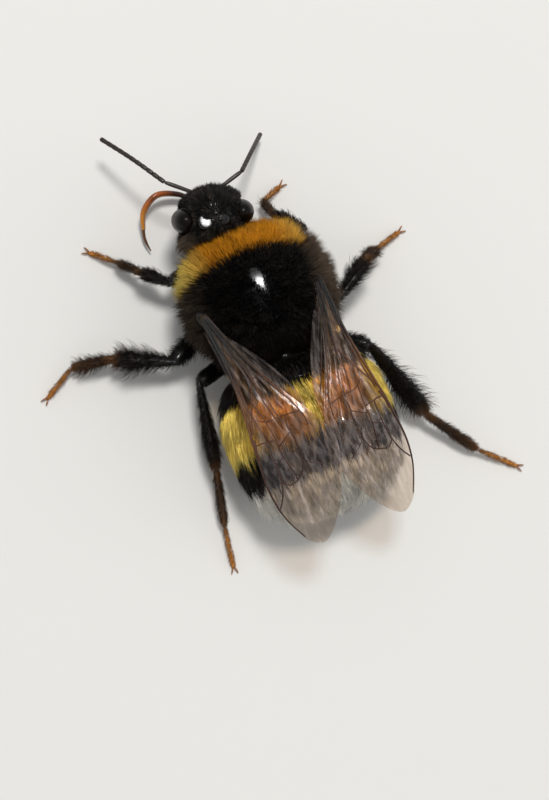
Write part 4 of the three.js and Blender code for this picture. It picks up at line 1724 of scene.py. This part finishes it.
# How each coat grows, by the names that grow() explains.
THORAX_HAIR = {
    "per_mm2": 620, "longest": 2.3, "reach": (0.72, 1.08), "thick": 0.75, "under": 0.5, "lock": (0.28, 0.24),
}
RING_HAIR = {
    "per_mm2": 430, "longest": 2.4, "reach": (0.65, 1.12), "bow": 0.12, "thick": 0.8, "under": 0.5,
    "lock": (0.42, 0.6), "stray": 0.45,
}
HEAD_HAIR = {
    "per_mm2": 560, "longest": 0.8, "reach": (0.8, 1.6), "thick": 0.7, "under": 0.5, "lock": (0.2, 0.15),
}
LEG_HAIR = {
    "per_mm2": 300, "longest": 0.9, "reach": (0.6, 1.2), "thick": 0.46, "clumps": (12, 12), "under": 0.75,
}
FOOT_HAIR = {**LEG_HAIR, "longest": 0.25, "thick": 0.4}
LEG_SHAG = {"fore": 2.8, "mid": 2.8, "hind": 2.2}  # factor on the extra hair along the edges
LEG_STRIP = 0.2  # breadth of each length's strip of the coat's unwrap


def draws(offset):
    return np.random.default_rng(bpy.context.scene.bee_coat.seed + offset)


def everywhere(t, a, points):
    return np.ones_like(t)


def top_side(t, a, points):
    """Full density above, thinner on the underside where the coat is short."""
    return 0.45 + 0.55 * held(np.sin(a) + 0.9)


# The bare spot on the back: its middle, half sizes and slant, and the share of them where hair starts.
BALD = {"x": 0.18, "y": 0.05, "wide": 0.36, "long": 0.8, "slant": -0.15, "rim": 0.85}
# The groove across the back, behind the bare spot.
SEAM = {"y": 2.5, "x": 0.3, "curve": -0.25, "reach": 1.9, "wide": 0.07}
FAR = 9.0  # stands for a distance that is too great to matter


def at_sides(a, reach):
    """1 at both sides of a form, falling to 0 where the angle's sine is reach."""
    return held(1 - np.abs(np.sin(a)) / reach)


def from_bald(points):
    """0 in the middle of the bare spot on the back, 1 at its rim; more outside, and far below it."""
    back = (points[..., 1] - BALD["y"]) / BALD["long"]
    wide = BALD["wide"] * np.clip(0.75 - 0.45 * back, 0.25, 1)
    apart = np.hypot((points[..., 0] - BALD["x"] - BALD["slant"] * back) / wide, back)
    return np.where(points[..., 2] > THORAX["middle"], apart, FAR)


def from_seam(points):
    """Distance from the groove across the back, in millimetres."""
    aside = points[..., 0] - SEAM["x"]
    apart = np.abs(points[..., 1] - SEAM["y"] - SEAM["curve"] * aside**2)
    return np.where((points[..., 2] > THORAX["middle"]) & (np.abs(aside) < SEAM["reach"]), apart, FAR)


class BEE_OT_thorax_coat(bpy.types.Operator):
    """Upright coat of the thorax: a gold collar, black behind it, and a bare spot on the back"""

    bl_idname = "bee.thorax_coat"
    bl_label = "Thorax Coat"

    def execute(self, context):
        rng = draws(1)

        def keep(t, a, points):
            spot = held((from_bald(points) - BALD["rim"]) * 4)
            groove = np.clip(from_seam(points) / SEAM["wide"], 0.3, 1)
            return top_side(t, a, points) * spot * groove

        def lean(t, a, points):
            low = held(-np.sin(a))
            return mix(-0.25, 0.45, t) + 0.35 * low

        def stretch(t, a, points):
            """Longer at the flanks and shoulders, short round the bare spot and along the groove."""
            near = held((from_bald(points) - BALD["rim"]) / 1.1)
            short = mix(0.22, 1.0, near) * held(0.45 + from_seam(points) * 2.5)
            flank = at_sides(a, 0.6)
            shoulder = held(1 - t / 0.3) * held(0.35 - np.sin(a))
            waist = 0.5 * eased(t, 0.72, 0.9) * at_sides(a, 0.8)
            return short * (1 + 0.22 * flank + 0.4 * shoulder + waist + 0.8 * in_chest(points))

        tufts = grow(
            rng,
            THORAX_SKIN,
            THORAX_COAT,
            marking=lambda t, p: thorax_marking(p),
            keep=keep,
            lean=lean,
            stretch=stretch,
            **THORAX_HAIR,
        )
        tufts = pressed_by_wings(clear_of(tufts, ABDOMEN_SKIN, HEAD_SKIN))
        chest = in_chest(tufts["roots"])
        share = collar_share(tufts["tips"]) * (1 - chest)
        pale = share > rng.beta(2, 2, len(share))
        border = (held(1.2 - share) * 0.8)[:, None]
        gold_hair = mix(pale_coat(tufts["tips"]), colour("gold") * BORDER_DARK, border)
        dark_hair = mix(dark_coat(tufts["tips"]), colour("brown") * 2, 0.9 * chest[:, None])
        tufts["marking"] = np.where(pale[:, None], gold_hair, dark_hair)
        gold = coat_finish("collar_hair")
        dark = coat_finish("thorax_hair")
        build_tufts("coat_collar", "coat_gold", gold, picked(tufts, pale))
        build_tufts("coat_thorax", "coat_black", dark, picked(tufts, ~pale))
        return {"FINISHED"}


class BEE_OT_abdomen_coat(bpy.types.Operator):
    """Coat of the abdomen, lying back: black, lemon, black, white, and a dark tip"""

    bl_idname = "bee.abdomen_coat"
    bl_label = "Abdomen Coat"

    def execute(self, context):
        rng = draws(2)

        def keep(t, a, points):
            """Thinner on top of the first ring, most of all in the middle."""
            root = (ring_of(t) == 0) & (np.sin(a) > 0)
            middle = np.abs(points[..., 0] + 0.4) < 2.0
            return top_side(t, a, points) * np.where(root, np.where(middle, 0.3, 0.6), 1.0)

        def lean(t, a, points):
            return 1.24 - 0.5 * eased(t, 0.62, 0.9)

        def stretch(t, a, points):
            """Longest along the flanks and round the tail, where it stands out as a fringe."""
            return 1 + 0.2 * at_sides(a, 0.7) + 0.45 * eased(t, 0.5, 0.8)

        tufts = grow(
            rng,
            ABDOMEN_SKIN,
            ABDOMEN_COAT,
            marking=lambda t, p: abdomen_marking(ring_of(t)),
            keep=keep,
            lean=lean,
            stretch=stretch,
            **RING_HAIR,
        )
        tufts = pressed_by_wings(clear_of(tufts, THORAX_SKIN))
        ring = ring_of(tufts["t"] + rng.normal(0, 0.006, len(tufts["t"])))
        covered = (ring == 5) & (np.sin(tufts["a"]) > -0.35)
        ring = np.where(covered, 4, ring)
        tufts["marking"] = abdomen_marking(ring)
        finishes = {band: coat_finish(f"ring_hair_{band}") for band in dict.fromkeys(BANDS)}
        for index, band in enumerate(BANDS):
            part = picked(tufts, ring == index)
            build_tufts(f"coat_ring_{index + 1}", f"coat_{band}", finishes[band], part)
        return {"FINISHED"}


def least_fill(forms, points):
    """How far out each point is from the middle of the form that it is deepest in."""
    return np.min([form.fill(points) for form in forms], axis=0)


def from_ocelli(points):
    """Distance to the middle of the nearest small eye, in millimetres."""
    return np.linalg.norm(points[..., None, :] - np.array(OCELLI_PLACES), axis=-1).min(axis=-1)


class BEE_OT_head_coat(bpy.types.Operator):
    """Short coat of the head, bare on the crown beside the small eyes and on the shield of the face"""

    bl_idname = "bee.head_coat"
    bl_label = "Head Coat"

    def execute(self, context):
        rng = draws(3)
        left = np.array(HEAD_LEFT)
        centre = np.array(HEAD["centre"])
        both_eyes = (eye_form(1), eye_form(-1))

        def keep(t, a, points):
            aside = np.abs((points - centre) @ left)
            bare = least_fill(CROWN, points) < 0.85
            eyes = least_fill(both_eyes, points) < 1.05
            beads = from_ocelli(points) < 0.17
            shield = (CLYPEUS.fill(points) < 1) & (aside < 0.42)
            return np.where(bare | eyes | beads | shield, 0.0, 1.0)

        def lean(t, a, points):
            return 0.55 * np.cos(pi * t) - 0.6 * eased(t, 0.6, 1) * held(np.sin(a))

        def stretch(t, a, points):
            """Long on the brow, the cheeks and the back of the head, short by the eyes and the mouth."""
            brow = held(np.sin(a)) * held((t - 0.45) / 0.3)
            back = held(-np.sin(a))
            clear = np.clip((least_fill(both_eyes, points) - 0.8) / 0.5, 0.4, 1)
            clear = clear * np.clip(from_ocelli(points) / 0.9, 0.2, 1)
            mouth = np.clip(t / 0.25, 0.45, 1)
            return (1 + brow + 1.3 * back + 2.4 * cheeks(points)) * clear * mouth

        def cheeks(points):
            """1 behind and below the eyes, 0 elsewhere."""
            rel = points - centre
            aside = held((np.abs(rel @ left) - 0.8) / 0.8)
            return aside * held((rel[..., 1] - 0.1) / 0.7) * held((1.6 - rel[..., 2]) / 0.8)

        def marking(t, points):
            """Black, and brown on the cheeks behind the eyes."""
            return mix(colour("black"), colour("brown") * 2.0, 0.9 * cheeks(points)[:, None])

        tufts = grow(
            rng,
            HEAD_SKIN,
            HEAD_COAT,
            marking=marking,
            keep=keep,
            lean=lean,
            stretch=stretch,
            **HEAD_HAIR,
        )
        tufts = clear_of(tufts, THORAX_SKIN)
        build_tufts("coat_head", "coat_black", coat_finish("head_hair"), tufts)
        return {"FINISHED"}


class BEE_OT_leg_coat(bpy.types.Operator):
    """Short coat of the legs, longer along the edges of thigh and shin, finest on the feet"""

    bl_idname = "bee.leg_coat"
    bl_label = "Leg Coat"

    def execute(self, context):
        hair = coat_finish("leg_hair")

        def lean(t, a, points):
            return 1.0 - 0.3 * np.abs(np.cos(a)) ** 3

        for number, leg in enumerate(LEG_JOINTS):
            rng = draws(10 + number)
            grown = []
            for index, part in enumerate(LEG_PARTS):
                fringe = LEG_FRINGE[part] * LEG_SHAG[leg.split("_")[1]]

                def stretch(t, a, points, fringe=fringe):
                    """Longer along both edges of the thigh and the shin, most of all towards the foot."""
                    return 0.9 + fringe * np.abs(np.cos(a)) ** 2 * mix(0.6, 1.1, t)

                tufts = grow(
                    rng,
                    leg_form(leg, part, LEG_SHELL),
                    leg_form(leg, part, LEG_COAT),
                    marking=lambda t, p, leg=leg: leg_marking(leg, p),
                    keep=everywhere,
                    lean=lean,
                    stretch=stretch,
                    **(FOOT_HAIR if part == "tarsus" else LEG_HAIR),
                )
                tufts["unwrap"] = tufts["unwrap"] * (1, 0.95 * LEG_STRIP) + (0, index * LEG_STRIP)
                grown.append(tufts)
            tufts = merged(*grown)
            for key in ("roots", "bends", "tips"):
                tufts[key][:, 2] = np.maximum(tufts[key][:, 2], LOWEST)
            tufts = clear_of(tufts, THORAX_SKIN, ABDOMEN_SKIN)
            build_tufts(f"coat_leg_{leg}", "leg", hair, tufts)
        return {"FINISHED"}


# The camera's place in the bee frame, its axes, and its lens in millimetres.
CAMERA = {
    "place": (16.064, 12.584, 117.866),
    "right": (-0.93162, 0.34832, 0.10369),
    "up": (-0.33985, -0.93607, 0.09098),
    "back": (0.12876, 0.04952, 0.99044),
    "lens": 85.0,
}
# The directions from the bee to its two lamps.
KEY_FROM = (-0.12, -0.28, 0.95)
FILL_FROM = (-0.75, 0.4, 0.5)
LAMP_AWAY = 0.6  # metres from the bee to a lamp
WORLD_LIGHT = (0.93, 0.96, 1.0)
WORLD_STRENGTH = 0.42
WORLD_SEEN = (0.8, 0.79, 0.76)  # the backdrop beyond the floor


class BEE_OT_stage(bpy.types.Operator):
    """Pale floor, soft lamps and the camera over the bee's back"""

    bl_idname = "bee.stage"
    bl_label = "Floor, Lamps and Camera"

    def execute(self, context):
        scene = context.scene
        settings = scene.bee_stage
        clear_selection()
        bpy.ops.mesh.primitive_plane_add(size=settings.side, location=(0, 0, 0))
        floor = context.object
        floor.name = "floor"
        floor.data.materials.append(plain_finish("floor_paint", settings.floor, 0.8))

        middle = Vector((0, 0, 0.004))
        for name, heading, power, size in (
            ("key", KEY_FROM, settings.key, 0.11),
            ("fill", FILL_FROM, settings.fill, 0.48),
        ):
            lamp = bpy.data.lights.new(name, "AREA")
            lamp.energy = power
            lamp.size = size
            obj = added(name, lamp)
            away = Vector(heading).normalized()
            obj.location = middle + away * LAMP_AWAY
            obj.rotation_euler = away.to_track_quat("Z", "Y").to_euler()

        world = bpy.data.worlds.new("studio")
        world.use_nodes = True
        tree = world.node_tree
        seen = node(tree, "LightPath").outputs["Is Camera Ray"]
        lit = tree.nodes["Background"]
        feed(tree, lit.inputs["Color"], blended(tree, seen, opaque(WORLD_LIGHT), opaque(WORLD_SEEN)))
        feed(tree, lit.inputs["Strength"], ranged(tree, seen, 0, 1, WORLD_STRENGTH, 1.0))
        scene.world = world

        camera = bpy.data.cameras.new("camera")
        camera.lens = CAMERA["lens"]
        camera.clip_start = 0.01
        obj = added("camera", camera)
        turn = Matrix((CAMERA["right"], CAMERA["up"], CAMERA["back"])).transposed().to_4x4()
        obj.matrix_world = Matrix.Translation(TO_LIFE @ Vector(CAMERA["place"])) @ turn
        scene.camera = obj
        scene.view_settings.view_transform = "Standard"
        return {"FINISHED"}


OPERATORS = (
    BEE_OT_skin,
    BEE_OT_eyes,
    BEE_OT_jaws,
    BEE_OT_feelers,
    BEE_OT_tongue,
    BEE_OT_legs,
    BEE_OT_claws,
    BEE_OT_wings,
    BEE_OT_veins,
    BEE_OT_thorax_coat,
    BEE_OT_abdomen_coat,
    BEE_OT_head_coat,
    BEE_OT_leg_coat,
    BEE_OT_stage,
)
SETTINGS = {"bee_colours": BeeColours, "bee_coat": BeeCoat, "bee_wings": BeeWings, "bee_stage": BeeStage}


class BEE_PT_panel(bpy.types.Panel):
    """Sizes, colours and pieces of the bee"""

    bl_label = "Bumblebee"
    bl_idname = "BEE_PT_panel"
    bl_space_type = "VIEW_3D"
    bl_region_type = "UI"
    bl_category = "Bumblebee"

    def draw(self, context):
        for key, kind in SETTINGS.items():
            box = self.layout.box()
            for label in kind.__annotations__:
                box.prop(getattr(context.scene, key), label)
        for operator in OPERATORS:
            self.layout.operator(operator.bl_idname)


def register():
    for kind in (*SETTINGS.values(), *OPERATORS, BEE_PT_panel):
        bpy.utils.register_class(kind)
    for key, kind in SETTINGS.items():
        setattr(bpy.types.Scene, key, PointerProperty(type=kind))


def unregister():
    for key in SETTINGS:
        delattr(bpy.types.Scene, key)
    for kind in reversed((*SETTINGS.values(), *OPERATORS, BEE_PT_panel)):
        bpy.utils.unregister_class(kind)


def main():
    register()
    build_groups()
    for operator in OPERATORS:
        family, name = operator.bl_idname.split(".")
        getattr(getattr(bpy.ops, family), name)()
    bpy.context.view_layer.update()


if __name__ == "__main__":
    main()
